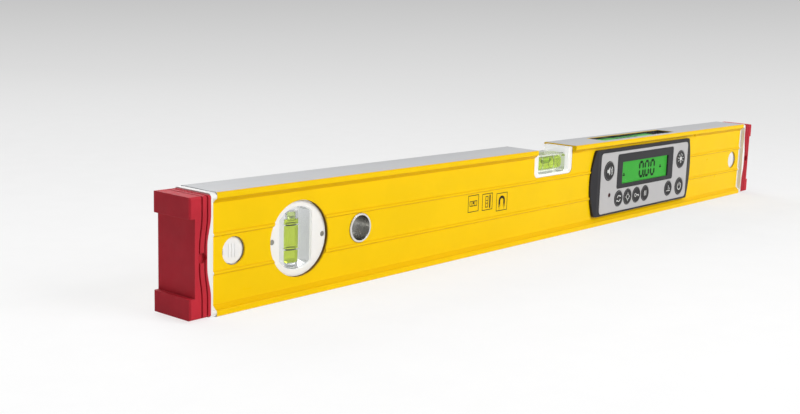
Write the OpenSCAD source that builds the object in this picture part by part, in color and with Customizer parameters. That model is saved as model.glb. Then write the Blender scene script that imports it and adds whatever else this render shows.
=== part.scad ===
// Digital spirit level: a box-section aluminium profile with two block vials,
// a display unit, a second display in the upper face, magnets and pull-off end caps.
// X runs along the level, the display looks towards -Y, Z is up, the base is at Z = 0.

/* [Profile] */
// Length of the aluminium profile without its end caps
profile_len = 578; // [560:1:800]
// Height from the lower to the upper measuring face
profile_h = 61; // [60:0.5:68]
// Width over the measuring flanges
profile_w = 27; // [26.5:0.5:32]
// Width over the recessed side webs
web_w = 21; // [20:0.5:22]
// Thickness of each side web
web_t = 2.2; // [2:0.1:2.6]
// Thickness left of a web behind the inner channel between its beads
channel_wall = 1.1; // [0.8:0.1:1.3]
// Height of the inner channel in each web
channel_h = 15.4; // [15:0.1:17]
// Thickness of the walls behind the measuring faces
face_t = 3; // [2.6:0.1:3.4]
// Thickness of a flange at its nose
nose_t = 3.6; // [3:0.1:4.2]
// Corner radius of a flange nose
nose_r = 1; // [0.6:0.1:1.4]
// Height of the bevel between a flange nose and the web
bevel_h = 2; // [1.2:0.1:2.6]
// Distance between the two beads on a web
bead_pitch = 18.8; // [17.5:0.1:22]
// Radius of a bead
bead_r = 1.1; // [0.7:0.1:1.5]
// How far a bead stands out of the web
bead_proud = 0.8; // [0.4:0.1:1]

/* [End caps] */
// How much lower than the profile the rubber shell is at each edge
cap_inset = 1; // [0.5:0.1:2.5]
// Width of the rubber shell
cap_w = 27.4; // [25:0.1:30]
// Thickness of the hard collar between profile and rubber
collar_t = 3.6; // [2.8:0.1:4.5]
// Length of the collar's part that follows the profile's outline
collar_step = 2.3; // [1.5:0.1:2.6]
// How far the collar and the shell meet further out at half height
cap_bow = 2.2; // [0.8:0.1:3]
// Length of the rubber shell outside the collar
shell_t = 9.5; // [9:0.1:14]
// How far the upper and lower stop blocks stand out of the shell
stop_t = 2.9; // [1:0.1:4]
// Height of a stop block
stop_h = 10.4; // [6:0.1:14]
// Chamfer on the outer upright edges of the shell
cap_chamfer = 0.8; // [0.4:0.1:3]
// Radius of the shell's long edges
cap_edge_r = 1.2; // [0.6:0.1:2]
// Width of a flex groove round the shell
groove_w = 0.8; // [0.5:0.1:1.3]
// Depth of a flex groove
groove_d = 0.9; // [0.5:0.1:1.5]
// Distance from the collar to the first flex groove
groove_start = 1.7; // [1.5:0.1:2.2]
// Distance between the two flex grooves
groove_pitch = 3.2; // [2:0.1:3.4]
// How far the flex grooves run further out at half height
groove_bow = 1.5; // [0.5:0.1:1.6]
// Radius of the round recess in each side of the shell
dimple_r = 2.6; // [1.5:0.1:3]
// Depth of that recess
dimple_d = 2; // [1:0.1:3]
// Length of the collar's spigot inside the shell
spigot_len = 6; // [4:0.1:7]
// Width of that spigot
spigot_w = 16; // [12:0.5:18]
// Height of that spigot
spigot_h = 42; // [30:1:46]
// Length of the plug inside the profile
plug_len = 26; // [24:0.5:34]
// Wall thickness of the plug
plug_t = 1.8; // [1.4:0.1:2.2]
// Clearance between the plug and the profile
plug_fit = 0.25; // [0.15:0.05:0.4]

/* [Release buttons] */
// Distance from the profile's end to a button's centre
button_inset = 12.8; // [11:0.1:14]
// Radius of a button
button_r = 6.7; // [5:0.1:7]
// Clearance round a button in the profile
button_gap = 0.4; // [0.3:0.05:0.6]
// Clearance between a button's ribs and the wall of the channel
button_clear = 0.15; // [0.1:0.05:0.3]
// Height of the ribs on a button's face
button_rib = 0.15; // [0.1:0.05:0.3]
// Distance from a button's centre to its flat, beside which the catch stands
button_flat = 6; // [5:0.1:6.2]
// Travel of a button
button_travel = 2; // [1.2:0.1:2.2]
// Thickness of the retaining flange behind a button
button_flange_t = 0.9; // [0.6:0.1:1.1]
// How far that flange reaches past the button
button_flange_w = 1.2; // [0.8:0.1:1.5]
// Thickness of the hairpin spring's strip
spring_t = 0.5; // [0.3:0.05:0.6]
// Height of the hairpin spring
spring_h = 10; // [6:0.5:12]
// Height of the catch at the end of each spring arm
catch_h = 3; // [2:0.1:3.4]
// How far a catch reaches into its hole in the profile
catch_depth = 0.6; // [0.3:0.05:0.8]

/* [Hang hole] */
// Distance from the profile's left end to the hang hole
hang_from_end = 101; // [96:0.5:110]
// Radius of the bore through the sleeve
hang_bore_r = 7; // [5:0.1:8]
// Wall thickness of the sleeve
hang_wall = 0.7; // [0.5:0.1:1]
// How far the rolled rim reaches past the sleeve
hang_rim_w = 0.5; // [0.4:0.05:0.6]
// Thickness of the rolled rim
hang_rim_t = 0.7; // [0.5:0.1:1]

/* [Plumb vial] */
// Distance from the profile's left end to the plumb vial
plumb_from_end = 56.5; // [52:0.5:62]
// Radius of the round insert
insert_r = 20.1; // [19.6:0.1:21]
// Clearance round the insert in the profile
insert_gap = 0.15; // [0.1:0.05:0.3]
// How far the insert lies below the web
insert_recess = 1.8; // [0.6:0.1:2]
// Width of the window in the insert
window_w = 22.4; // [20:0.1:24]
// Radius of the window's upper and lower ends
window_r = 16.6; // [16:0.1:17]
// Offset of the window from the insert's centre
window_shift = -1.5; // [-1.8:0.1:1.5]
// Offset of the vial from the insert's centre
vial_shift = 0.3; // [-0.5:0.1:0.5]
// Radius of the pins that hold the insert
insert_pin_r = 1.4; // [0.8:0.1:1.6]
// Distance of each pin from the insert's centre
insert_pin_from = 17.5; // [17:0.1:17.8]
// Length of the liquid column in the plumb vial
plumb_vial_len = 27; // [24:0.5:27.5]

/* [Level vial] */
// Place of the upper notch along the profile
notch_x = -1; // [-40:1:5]
// Width of the notch
notch_w = 45; // [44:0.5:52]
// Depth of the notch below the upper measuring face
notch_d = 19; // [18:0.1:19.5]
// Corner radius at the notch's floor
notch_r = 4; // [3:0.1:6]
// Clearance between the notch and the cradle
cradle_gap = 0.15; // [0.1:0.05:0.3]
// Thickness of the cradle's side walls
cradle_side = 4.4; // [3:0.1:4.6]
// Thickness of the cradle's floor
cradle_t = 1.2; // [1:0.1:2]
// How far the cradle's top lies below the upper measuring face
cradle_drop = 0.9; // [0.3:0.1:1.2]
// How far the block's top lies below the upper measuring face
block_drop = 4.6; // [3:0.1:5]
// Length of the liquid column in the level vial
level_vial_len = 31; // [28:0.5:31.5]

/* [Vials] */
// Bore radius of a vial at its middle
vial_r = 4.5; // [4:0.1:4.6]
// How much narrower the barrel-shaped bore is at its ends
vial_barrel = 0.2; // [0.1:0.05:0.4]
// Thickness of a vial block from front to back
block_t = 14.6; // [13.6:0.1:16]
// Distance between the two read-off rings
ring_pitch = 13; // [11:0.1:14]
// Width of a ring
ring_w = 0.6; // [0.4:0.1:0.8]
// Thickness of a ring
ring_t = 0.5; // [0.2:0.05:0.5]
// Radius of a bubble
bubble_r = 2.1; // [1.5:0.1:2.4]
// Length of the bubble in the level vial
bubble_len = 11.6; // [8:0.1:12]
// Clearance between a bubble and what lies round it
bubble_gap = 0.3; // [0.2:0.05:0.4]

/* [Display unit] */
// Place of the display unit along the profile
unit_x = 120.5; // [114:0.5:180]
// Width of the frame at half height
unit_w_mid = 150.6; // [148:0.1:156]
// How far each side of the frame bulges out at half height
unit_bulge = 4.3; // [3:0.1:6]
// Distance from the frame to each edge of the profile
unit_margin = 6.4; // [6.2:0.1:7.4]
// How far the frame stands out of the web
unit_t = 2.5; // [2.3:0.1:2.8]
// Thickness of the frame at its outer left and right edges
unit_edge_t = 1.2; // [0.7:0.1:1.6]
// Width of the slope along each of those edges
unit_slope = 7.4; // [3:0.1:8]
// Corner radius of the frame
unit_r = 3; // [2:0.1:4]
// Width of the frame's border left and right of the key panel
side_border = 9.8; // [9.4:0.1:12]
// Width of the frame's border above and below the key panel
end_border = 2; // [1.6:0.1:2.6]
// Offset of the key panel from the frame's centre
panel_dx = 1.5; // [0:0.1:2]
// Thickness of the key panel
panel_t = 1.2; // [1:0.1:1.4]
// How far the panel stands out of the frame
panel_proud = 0.1; // [0:0.05:0.2]
// Distance from the panel's left edge to the dark bezel
bezel_left = 22.7; // [22:0.1:26]
// Distance from the panel's right edge to the bezel
bezel_right = 24; // [22.5:0.1:28]
// Distance from the panel's upper edge to the bezel
bezel_top = 2.2; // [1.5:0.1:3]
// Distance between the bezel and the row of small keys
bezel_gap = 1.5; // [1.2:0.1:3]
// Width of the bezel left of the visible display
view_left = 7.2; // [5:0.1:10]
// Width of the bezel right of the visible display
view_right = 8; // [5:0.1:10]
// Width of the bezel above the visible display
view_top = 6; // [4:0.1:7]
// Width of the bezel below the visible display
view_bottom = 3; // [3:0.1:5]
// How far the liquid crystal cell reaches past its visible area
cell_border = 2.8; // [2:0.1:2.9]
// Radius of the speaker and light keys
big_key_r = 7; // [6:0.1:7.2]
// Radius of the power key
power_key_r = 6.8; // [6:0.1:7]
// Radius of a small key
key_r = 5.9; // [5:0.1:5.9]
// Distance from the panel's left edge to the speaker key
speaker_in = 11.2; // [10:0.1:12]
// Distance from the panel's right edge to the light and power keys
power_in = 11.3; // [10.5:0.1:12.5]
// Height of the speaker and light keys above the bezel's centre
big_key_lift = 1.6; // [0:0.1:3]
// Distance from the panel's lower edge to the row of small keys
row_edge = 3.4; // [2:0.1:4]
// Distance from the panel's left edge to the first small key
row_in = 26.4; // [24:0.1:28]
// Distance between the small keys in their row
key_pitch = 13; // [12.9:0.1:13.4]
// Distance between the reference key and the power key
reference_gap = 17.8; // [14:0.1:20]
// Clearance round a key in the panel
key_gap = 0.25; // [0.2:0.05:0.35]
// Travel of a key
key_travel = 0.6; // [0.4:0.05:0.7]
// How far a key stands out of the panel
key_proud = 0.3; // [0.1:0.05:0.35]
// Radius of the status lamp
lamp_r = 1.5; // [1:0.1:2]
// Distance from the panel's left edge to the status lamp
lamp_in = 13.2; // [10:0.1:16]
// Height of the status lamp above the centres of the small keys
lamp_lift = 3.7; // [0:0.1:6]
// Thickness of the circuit board
board_t = 1.4; // [1:0.1:1.6]
// Thickness of the rubber key mat
mat_t = 0.8; // [0.6:0.1:1]
// Wall thickness of the chassis
chassis_t = 1.6; // [1.2:0.1:2]
// Clearance between the chassis and the openings in the webs
chassis_gap = 0.3; // [0.2:0.05:0.5]
// How far the frame covers the web left and right of the chassis
frame_lap_w = 8.8; // [8.4:0.1:10]
// How far the frame covers the web above and below the chassis
frame_lap_h = 3.6; // [3.2:0.1:4]
// Distance from the chassis's right end to the beeper
beeper_in = 18.5; // [16:0.5:26]
// Distance from the chassis's left end to the tilt sensor
sensor_in = 16.5; // [14:0.5:22]
// Distance from each end of the frame to its screws
bolt_in = 7.6; // [7.5:0.1:9]

/* [Battery bay] */
// Place of the battery bay relative to the unit's centre
bay_dx = -10.5; // [-14:0.5:-8]
// Diameter of a battery cell
cell_d = 14.2; // [13.8:0.1:14.3]
// Length of a battery cell without its nub
cell_len = 49.2; // [48:0.1:50]
// How far the battery cover reaches past the bay on the left
cover_lap = 3.4; // [3:0.1:6]
// Distance from the battery cover to the frame's upper and lower edges
cover_margin = 5.1; // [4.8:0.1:6]
// Thickness of the battery cover
cover_t = 1.6; // [1.4:0.1:1.8]
// Thickness of the cover's seal
seal_t = 0.4; // [0.3:0.05:0.6]
// Clearance round the cover
cover_gap = 0.3; // [0.2:0.05:0.5]
// Radius of the coin screw's head
coin_r = 5; // [4:0.1:5.5]
// Radius of the coin screw's shank
coin_shank_r = 1.9; // [1.5:0.1:2.2]
// Distance from the cover's right edge to the coin screw
coin_from_edge = 7; // [6:0.1:7.5]
// Distance from the battery bay to the coin screw
coin_from_bay = 8; // [7.5:0.1:12]

/* [Upper display] */
// Place of the upper display relative to the unit's centre
upper_dx = -1; // [-6:0.5:6]
// Length of the opening in the upper measuring face
upper_w = 105; // [95:1:110]
// Width of that opening
upper_d = 16; // [14:0.1:16.2]
// Wall thickness of the upper display's tray
tray_t = 1.1; // [0.8:0.1:1.4]
// How far the tray's rim lies below the measuring face
tray_drop = 0.4; // [0.3:0.1:0.8]
// Length of the upper liquid crystal cell
upper_cell_w = 80; // [70:1:88]
// Distance from the tray's left wall to that cell
upper_cell_in = 3; // [1:0.5:8]

/* [Magnets] */
// Distance from each end of the profile to a magnet's centre
magnet_from_end = 79.5; // [76:0.5:90]
// Length of a magnet carrier's face
magnet_w = 50; // [44:0.5:60]
// Width of a magnet carrier's face
magnet_d = 15; // [12:0.1:15.4]
// Clearance round a carrier in the profile
magnet_gap = 0.2; // [0.1:0.05:0.3]
// Wall thickness of a carrier
carrier_t = 1.2; // [0.8:0.1:1.5]
// Number of disc magnets in a carrier
magnet_count = 4; // [3:1:4]
// Height of a disc magnet
magnet_disc_h = 4.6; // [3:0.1:5]

/* [Hidden] */
$fn = 64;
eps = 0.01;
fine = 0.05;
overcut = 1;
mid_z = profile_h / 2;
half_len = profile_len / 2;
web_y = web_w / 2;
wall_y = web_y - web_t;
cavity_w = web_w - 2 * web_t;
cavity_h = profile_h - 2 * face_t;
cavity_r = 1;
channel_y = web_y - channel_wall;

plumb_x = -half_len + plumb_from_end;
hang_x = -half_len + hang_from_end;

plug_w = cavity_w - 2 * plug_fit;
plug_h = cavity_h - 2 * plug_fit;
plug_in_y = plug_w / 2 - plug_t;
collar_trim = 0.3;
flange_gap = 0.2;
button_y = channel_y - button_clear - button_rib;
button_in_y = plug_in_y - flange_gap - button_flange_t;
spring_y = button_in_y - fine;
tongue_half = button_in_y - button_travel - spring_t - 0.5;
catch_gap = 0.2;
catch_y = channel_y + catch_depth;

hole_r = insert_r + insert_gap;
insert_y = web_y - insert_recess;
block_y = block_t / 2;
block_gap = 0.1;
groove_extra = ring_t + fine;
ring_seat = 0.05;
liquid_gap = 0.05;
plumb_bubble_r = vial_r - vial_barrel - bubble_gap;
plumb_bubble_h = 3.4;
bubble_rise = vial_r - vial_barrel - bubble_r - bubble_gap;

notch_floor = profile_h - notch_d;
cradle_y = web_y - 0.2;
cradle_floor = notch_floor + cradle_gap;
cradle_w = notch_w - 2 * cradle_gap;
cradle_in_r = 3;
tray_floor = cradle_floor + cradle_t;
level_block_w = cradle_w - 2 * cradle_side - 2 * block_gap;
level_block_top = profile_h - block_drop;
level_z = tray_floor + block_gap + (level_block_top - tray_floor - block_gap) / 2;

unit_w_end = unit_w_mid - 2 * unit_bulge;
unit_h = profile_h - 2 * unit_margin;
unit_lift = 0.6;
unit_z = mid_z + unit_lift;
unit_gap = 0.2;
front_y = -web_y - unit_t;
panel_w = unit_w_mid - 2 * side_border;
panel_h = unit_h - 2 * end_border;
panel_x = unit_x + panel_dx;
panel_l = panel_x - panel_w / 2;
panel_r = panel_x + panel_w / 2;
panel_y = front_y - panel_proud;
panel_back = panel_y + panel_t;
row_z = mid_z - panel_h / 2 + row_edge + key_r;
bezel_w = panel_w - bezel_left - bezel_right;
bezel_low = row_z + key_r + bezel_gap;
bezel_h = mid_z + panel_h / 2 - bezel_top - bezel_low;
bezel_x = panel_l + bezel_left + bezel_w / 2;
bezel_z = bezel_low + bezel_h / 2;
bezel_y = panel_y - 0.15;
view_w = bezel_w - view_left - view_right;
view_h = bezel_h - view_top - view_bottom;
view_x = bezel_x + (view_left - view_right) / 2;
view_z = bezel_z + (view_bottom - view_top) / 2;
view_r = 0.5;
lens_t = 0.6;
cell_gap = 0.1;
frame_key_gap = 0.35;
key_flange_w = 0.4;
key_flange_t = 0.5;
key_front = panel_y - key_proud;
key_back = panel_back + 0.3 + key_flange_t;
stem_r = 2.2;
stem_end = key_back + 0.25;
board_y = -web_y + 2.3;
board_back = board_y + board_t;
mat_y = board_y - mat_t;
dome_top = stem_end + 0.1;
dome_r = 3;
row_x = panel_l + row_in;
power_x = panel_r - power_in;
big_key_z = bezel_z + big_key_lift;
// Each key has its name, its place along the unit and above the base, and its radius
KEYS = [
    ["speaker", panel_l + speaker_in, big_key_z, big_key_r],
    ["light", power_x, big_key_z, big_key_r],
    ["power", power_x, row_z, power_key_r],
    ["reference", power_x - reference_gap, row_z, key_r],
    ["mode", row_x, row_z, key_r],
    ["calibrate", row_x + key_pitch, row_z, key_r],
    ["lock", row_x + 2 * key_pitch, row_z, key_r],
    ["hold", row_x + 3 * key_pitch, row_z, key_r]
];
lamp_x = panel_l + lamp_in;
lamp_z = row_z + lamp_lift;

chassis_w = unit_w_mid - 2 * frame_lap_w;
chassis_h = unit_h - 2 * frame_lap_h;
chassis_y = web_y - 0.1;
chassis_in_w = chassis_w - 2 * chassis_t;
chassis_in_h = chassis_h - 2 * chassis_t;
board_gap = 0.3;
board_w = chassis_in_w - 2 * board_gap;
board_h = chassis_in_h - 2 * board_gap;
deck_y = board_back + 2;
deck_t = 1.2;
bolt_dx = unit_w_end / 2 - bolt_in;
bolt_dz = chassis_h / 2 - 2.7;
bolt_r = 1.2;
bolt_gap = 0.05;
bolt_head_r = 2.3;
bolt_head_t = 1.2;
post_r = 2.6;
beeper_r = 6;
beeper_h = 3;
beeper_x = unit_x + chassis_w / 2 - beeper_in;
beeper_z = mid_z + 6;
sensor_x = unit_x - chassis_w / 2 + sensor_in;
sensor_size = [12, 1.6, 10];
slot_x = unit_x;
ribbon_w = 20;
ribbon_t = 0.3;
ribbon_y = board_y + board_t / 2;

bay_x = unit_x + bay_dx;
contact_room = 3.6;
bay_w = cell_len + 1.2 + 2 * contact_room;
bay_h = 2 * cell_d + 2.4;
bay_t = 1.2;
cell_y = deck_y + deck_t + 0.2 + cell_d / 2;
cell_dz = cell_d / 2 + 0.3;
rear_y = web_y + unit_t;
cover_y = rear_y + 0.3;
seal_y = cover_y - cover_t;
rebate_y = seal_y - seal_t;
coin_x = bay_x + bay_w / 2 + coin_from_bay;
cover_w = cover_lap + bay_w + coin_from_bay + coin_from_edge;
cover_h = unit_h - 2 * cover_margin;
cover_x = bay_x - bay_w / 2 - cover_lap + cover_w / 2;
coin_head_t = 0.9;
coin_gap = 0.15;

upper_x = unit_x + upper_dx;
tray_top = profile_h - tray_drop;
tray_bottom = profile_h - face_t - 4;
tray_gap = 0.2;
tray_w = upper_w - 2 * tray_gap;
tray_d = upper_d - 2 * tray_gap;
tray_lip_w = 2;
pane_t = 1;
upper_cell_x = upper_x - tray_w / 2 + tray_t + upper_cell_in + upper_cell_w / 2;

carrier_face = 0.15;
carrier_h = 6.6;
carrier_lip = 1.8;
carrier_lip_t = 1.2;
magnet_disc_r = (magnet_d - 2 * carrier_t) / 2 - 0.6;

cap_h = profile_h - 2 * cap_inset;
cap_mid = profile_h / 2;
cap_out = collar_t + shell_t;
bow_flat = 4.8;
bow_reach = 20.5;
spring_x = -plug_len + 3 + spring_y;
groove_1 = collar_t + groove_start;
groove_2 = groove_1 + groove_pitch;
dimple_x = (groove_1 + groove_2 + groove_w) / 2 + groove_bow;

// Shared shapes

// Draws a Y-Z outline along X, centred on X = 0
module extrude_x(len) {
    rotate([90, 0, 90]) linear_extrude(height = len, center = true) children();
}

// Draws an X-Z outline along Y, from y0 to y1
module extrude_y(y0, y1) {
    translate([0, y1, 0]) rotate([90, 0, 0]) linear_extrude(height = y1 - y0) children();
}

// A round bar along Y from y0 to y1 at the place x, z
module bar_y(r, y0, y1, x = 0, z = 0) {
    translate([x, y1, z]) rotate([90, 0, 0]) cylinder(r = r, h = y1 - y0);
}

// A rectangle with round corners, centred
module round_rect(w, h, r) {
    square([w - 2 * r, h], center = true);
    square([w, h - 2 * r], center = true);
    for (sx = [-1, 1], sz = [-1, 1])
        translate([sx * (w / 2 - r), sz * (h / 2 - r)]) circle(r = r);
}

// A rectangle with round corners whose left and right sides bulge
module bowed_rect(w_mid, w_end, h, r) {
    arc_end = w_end / 2 - 0.2 * r;
    bulge = w_mid / 2 - arc_end;
    chord = h / 2 - r / 2;
    arc_r = (chord * chord + bulge * bulge) / (2 * bulge);
    round_rect(w_end, h, r);
    for (s = [-1, 1])
        intersection() {
            translate([s * (w_mid / 2 - arc_r), 0]) circle(r = arc_r, $fn = 180);
            translate([s * w_mid / 2, 0]) square([w_mid / 2, 2 * chord], center = true);
        }
}

// A slot with round ends, centred, its long side along the first axis
module stadium(w, h) {
    square([w - h, h], center = true);
    for (s = [-1, 1])
        translate([s * (w - h) / 2, 0]) circle(r = h / 2);
}

// A barrel along Z: its radius falls from r at the middle by sag at the ends
module barrel(r, len, sag) {
    steps = 10;
    rotate_extrude()
        polygon(concat([[0, -len / 2]],
            [for (i = [0 : steps])
                let (t = 2 * i / steps - 1) [r - sag * t * t, t * len / 2]],
            [[0, len / 2]]));
}

// A capsule along Z
module capsule(r, len) {
    cylinder(r = r, h = len - 2 * r, center = true);
    for (s = [-1, 1])
        translate([0, 0, s * (len / 2 - r)]) sphere(r = r);
}

// Profile

// Cross-section of one flange, standing on the measuring face
module flange_section() {
    translate([0, nose_t / 2]) round_rect(profile_w, nose_t, nose_r);
    polygon([[profile_w / 2 - nose_r, nose_t - eps], [web_y - eps, nose_t + bevel_h],
        [-web_y + eps, nose_t + bevel_h], [-profile_w / 2 + nose_r, nose_t - eps]]);
}

// Outer outline of the profile
module profile_outline() {
    translate([0, mid_z]) square([web_w, profile_h - 2 * nose_r], center = true);
    flange_section();
    translate([0, profile_h]) mirror([0, 1]) flange_section();
    for (sy = [-1, 1], sz = [-1, 1])
        translate([sy * (web_y + bead_proud - bead_r), mid_z + sz * bead_pitch / 2])
            circle(r = bead_r);
}

// Openings that the side webs share front and back
module web_openings() {
    for (s = [-1, 1])
        bar_y(button_r + button_gap, -profile_w, profile_w, s * (half_len - button_inset), mid_z);
    bar_y(hang_bore_r + hang_wall + 0.1, -profile_w, profile_w, hang_x, mid_z);
    bar_y(hole_r, -profile_w, profile_w, plumb_x, mid_z);
    extrude_y(-profile_w, profile_w)
        translate([unit_x, mid_z])
            round_rect(chassis_w + 2 * chassis_gap, chassis_h + 2 * chassis_gap, 1);
}

// Notch for the level vial, open upwards
module notch_cut() {
    extrude_y(-profile_w, profile_w)
        translate([notch_x, notch_floor + notch_d])
            round_rect(notch_w, 2 * notch_d, notch_r);
}

// Milled relief in a flange's bevel that makes room for the display unit
module unit_relief() {
    relief_z = profile_h - nose_t;
    lead = bevel_h + 2;
    for (s = [-1, 1])
        extrude_y(s > 0 ? web_y : -profile_w, s > 0 ? profile_w : -web_y)
            translate([unit_x, 0])
                polygon([[-unit_w_mid / 2 - 9 - lead, relief_z - bevel_h - 1],
                    [-unit_w_mid / 2 - 9, relief_z], [unit_w_mid / 2 + 5, relief_z],
                    [unit_w_mid / 2 + 5 + lead, relief_z - bevel_h - 1]]);
}

// Inner outline of the profile, with a shallow channel in each web
module profile_hollow() {
    translate([0, mid_z]) round_rect(cavity_w, cavity_h, cavity_r);
    translate([0, mid_z]) square([2 * channel_y, channel_h], center = true);
}

// The beads are milled flat where the display unit's frames sit on the webs
module bead_relief() {
    for (s = [-1, 1])
        extrude_y(s > 0 ? web_y : -profile_w, s > 0 ? profile_w : -web_y)
            intersection() {
                unit_outline(-unit_gap);
                translate([unit_x, mid_z])
                    square([2 * unit_w_mid, bead_pitch + 4 * bead_r], center = true);
            }
}

module profile() {
    color("gold")
        difference() {
            extrude_x(profile_len) profile_outline();
            extrude_x(profile_len + 2 * overcut) profile_hollow();
            bead_relief();
            web_openings();
            notch_cut();
            unit_relief();
            translate([upper_x, 0, profile_h - face_t - overcut])
                linear_extrude(height = face_t + 2 * overcut) round_rect(upper_w, upper_d, 1);
            for (s = [-1, 1])
                translate([s * (half_len - magnet_from_end), 0, -overcut])
                    linear_extrude(height = face_t + 2 * overcut)
                        stadium(magnet_w + 2 * magnet_gap, magnet_d + 2 * magnet_gap);
        }
}

module hang_hole_sleeve() {
    out_r = hang_bore_r + hang_wall;
    rim_r = out_r + hang_rim_w;
    edge = 0.25;
    end_y = web_y + hang_rim_t;
    color("silver")
        translate([hang_x, 0, mid_z]) rotate([90, 0, 0])
            rotate_extrude()
                polygon([[hang_bore_r, -end_y], [rim_r - edge, -end_y], [rim_r, -end_y + edge],
                    [rim_r, -web_y], [out_r, -web_y], [out_r, web_y], [rim_r, web_y],
                    [rim_r, end_y - edge], [rim_r - edge, end_y], [hang_bore_r, end_y]]);
}

// Plumb vial

// The window is a round hole whose sides are cut straight
module plumb_window(grow) {
    intersection() {
        translate([plumb_x, mid_z]) circle(r = window_r + grow);
        translate([plumb_x + window_shift, mid_z])
            square([window_w + 2 * grow, 2 * insert_r], center = true);
    }
}

module plumb_insert() {
    edge = 0.4;
    color("white")
        difference() {
            translate([plumb_x, 0, mid_z]) rotate([90, 0, 0]) {
                cylinder(r = insert_r, h = 2 * (insert_y - edge), center = true);
                for (s = [0, 1]) mirror([0, 0, s])
                    translate([0, 0, insert_y - edge])
                        cylinder(r1 = insert_r, r2 = insert_r - edge, h = edge);
            }
            extrude_y(-profile_w, profile_w) plumb_window(0);
            for (s = [-1, 1])
                bar_y(insert_pin_r + fine, -profile_w, profile_w,
                    plumb_x + s * insert_pin_from, mid_z);
        }
}

module plumb_insert_pins() {
    color("gray")
        for (s = [-1, 1])
            bar_y(insert_pin_r, -insert_y + 0.2, insert_y - 0.2,
                plumb_x + s * insert_pin_from, mid_z);
}

// Grooves for the read-off rings of a vial along Z
module ring_shapes(out_r, w) {
    for (s = [-1, 1])
        translate([0, 0, s * ring_pitch / 2]) cylinder(r = out_r, h = w, center = true);
}

// Hollow of a vial along Z, open at the end towards -Z
module vial_hollow(len, mouth) {
    barrel(vial_r, len, vial_barrel);
    translate([0, 0, -len / 2 - mouth]) cylinder(r = vial_r - vial_barrel, h = mouth + eps);
    ring_shapes(vial_r + groove_extra, ring_w + 2 * fine);
}

module vial_rings() {
    difference() {
        ring_shapes(vial_r + ring_t, ring_w);
        cylinder(r = vial_r + ring_seat, h = 2 * ring_pitch, center = true);
    }
}

// Puts a shape along Z at the plumb vial's centre
module at_plumb_vial() {
    translate([plumb_x + vial_shift, 0, mid_z]) children();
}

// Puts a shape along Z on the level vial's axis, with its top towards +X
module at_level_vial() {
    translate([notch_x, 0, level_z]) rotate([0, 90, 0]) children();
}

module plumb_vial_block() {
    color("palegreen", 0.5)
        difference() {
            extrude_y(-block_y, block_y) plumb_window(-block_gap);
            at_plumb_vial() vial_hollow(plumb_vial_len, window_r);
        }
}

module plumb_vial_plug() {
    mouth_r = vial_r + abs(vial_shift);
    block_r = window_r - block_gap;
    plug_top = mid_z - plumb_vial_len / 2 - block_gap;
    plug_bottom = mid_z - sqrt(block_r * block_r - mouth_r * mouth_r);
    color("palegreen", 0.6)
        translate([plumb_x + vial_shift, 0, plug_bottom])
            cylinder(r = vial_r - vial_barrel - fine, h = plug_top - plug_bottom);
}

module plumb_vial_rings() {
    color("black") at_plumb_vial() vial_rings();
}

module plumb_vial_liquid() {
    color("yellowgreen")
        at_plumb_vial()
            difference() {
                barrel(vial_r - liquid_gap, plumb_vial_len - 2 * liquid_gap, vial_barrel);
                translate([0, 0, plumb_vial_len / 2 - plumb_bubble_h - 2 * bubble_gap])
                    cylinder(r = vial_r + overcut, h = plumb_bubble_h + overcut);
            }
}

// Flat bubble that stands at the top of the upright vial
module plumb_bubble() {
    dome_h = 1;
    color("honeydew")
        translate([plumb_x + vial_shift, 0,
            mid_z + plumb_vial_len / 2 - plumb_bubble_h - bubble_gap])
            rotate_extrude() {
                square([plumb_bubble_r - dome_h, plumb_bubble_h]);
                translate([0, dome_h]) square([plumb_bubble_r, plumb_bubble_h - 2 * dome_h]);
                for (z = [dome_h, plumb_bubble_h - dome_h])
                    translate([plumb_bubble_r - dome_h, z]) circle(r = dome_h);
            }
}

// Level vial

module level_cradle() {
    color("white")
        extrude_y(-cradle_y, cradle_y)
            difference() {
                translate([notch_x, notch_floor + notch_d])
                    intersection() {
                        round_rect(cradle_w, 2 * (notch_d - cradle_gap), notch_r);
                        translate([0, -cradle_drop - notch_d])
                            square([cradle_w, 2 * notch_d], center = true);
                    }
                translate([notch_x, notch_floor + notch_d])
                    round_rect(cradle_w - 2 * cradle_side, 2 * (notch_d - cradle_gap - cradle_t),
                        cradle_in_r);
            }
}

module level_vial_block() {
    block_h = level_block_top - tray_floor - block_gap;
    color("palegreen", 0.5)
        difference() {
            extrude_y(-block_y, block_y)
                translate([notch_x, level_z])
                    round_rect(level_block_w, block_h, cradle_in_r - block_gap);
            at_level_vial() vial_hollow(level_vial_len, level_block_w);
        }
}

module level_vial_plug() {
    color("palegreen", 0.6)
        at_level_vial()
            translate([0, 0, -level_block_w / 2 + 2 * block_gap])
                cylinder(r = vial_r - vial_barrel - fine,
                    h = (level_block_w - level_vial_len) / 2 - 3 * block_gap);
}

module level_vial_rings() {
    color("black") at_level_vial() vial_rings();
}

module level_vial_liquid() {
    color("greenyellow")
        difference() {
            at_level_vial()
                barrel(vial_r - liquid_gap, level_vial_len - 2 * liquid_gap, vial_barrel);
            translate([notch_x, 0, level_z + bubble_rise]) {
                rotate([0, 90, 0]) capsule(bubble_r + bubble_gap, bubble_len + 2 * bubble_gap);
                translate([0, 0, vial_r])
                    cube([bubble_len, 2 * bubble_r, 2 * vial_r], center = true);
            }
        }
}

module level_bubble() {
    color("honeydew")
        translate([notch_x, 0, level_z + bubble_rise]) rotate([0, 90, 0])
            capsule(bubble_r, bubble_len);
}

// Display unit

module unit_outline(inset) {
    translate([unit_x, unit_z])
        bowed_rect(unit_w_mid - 2 * inset, unit_w_end - 1.3 * inset, unit_h - inset / 2, unit_r);
}

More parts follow.
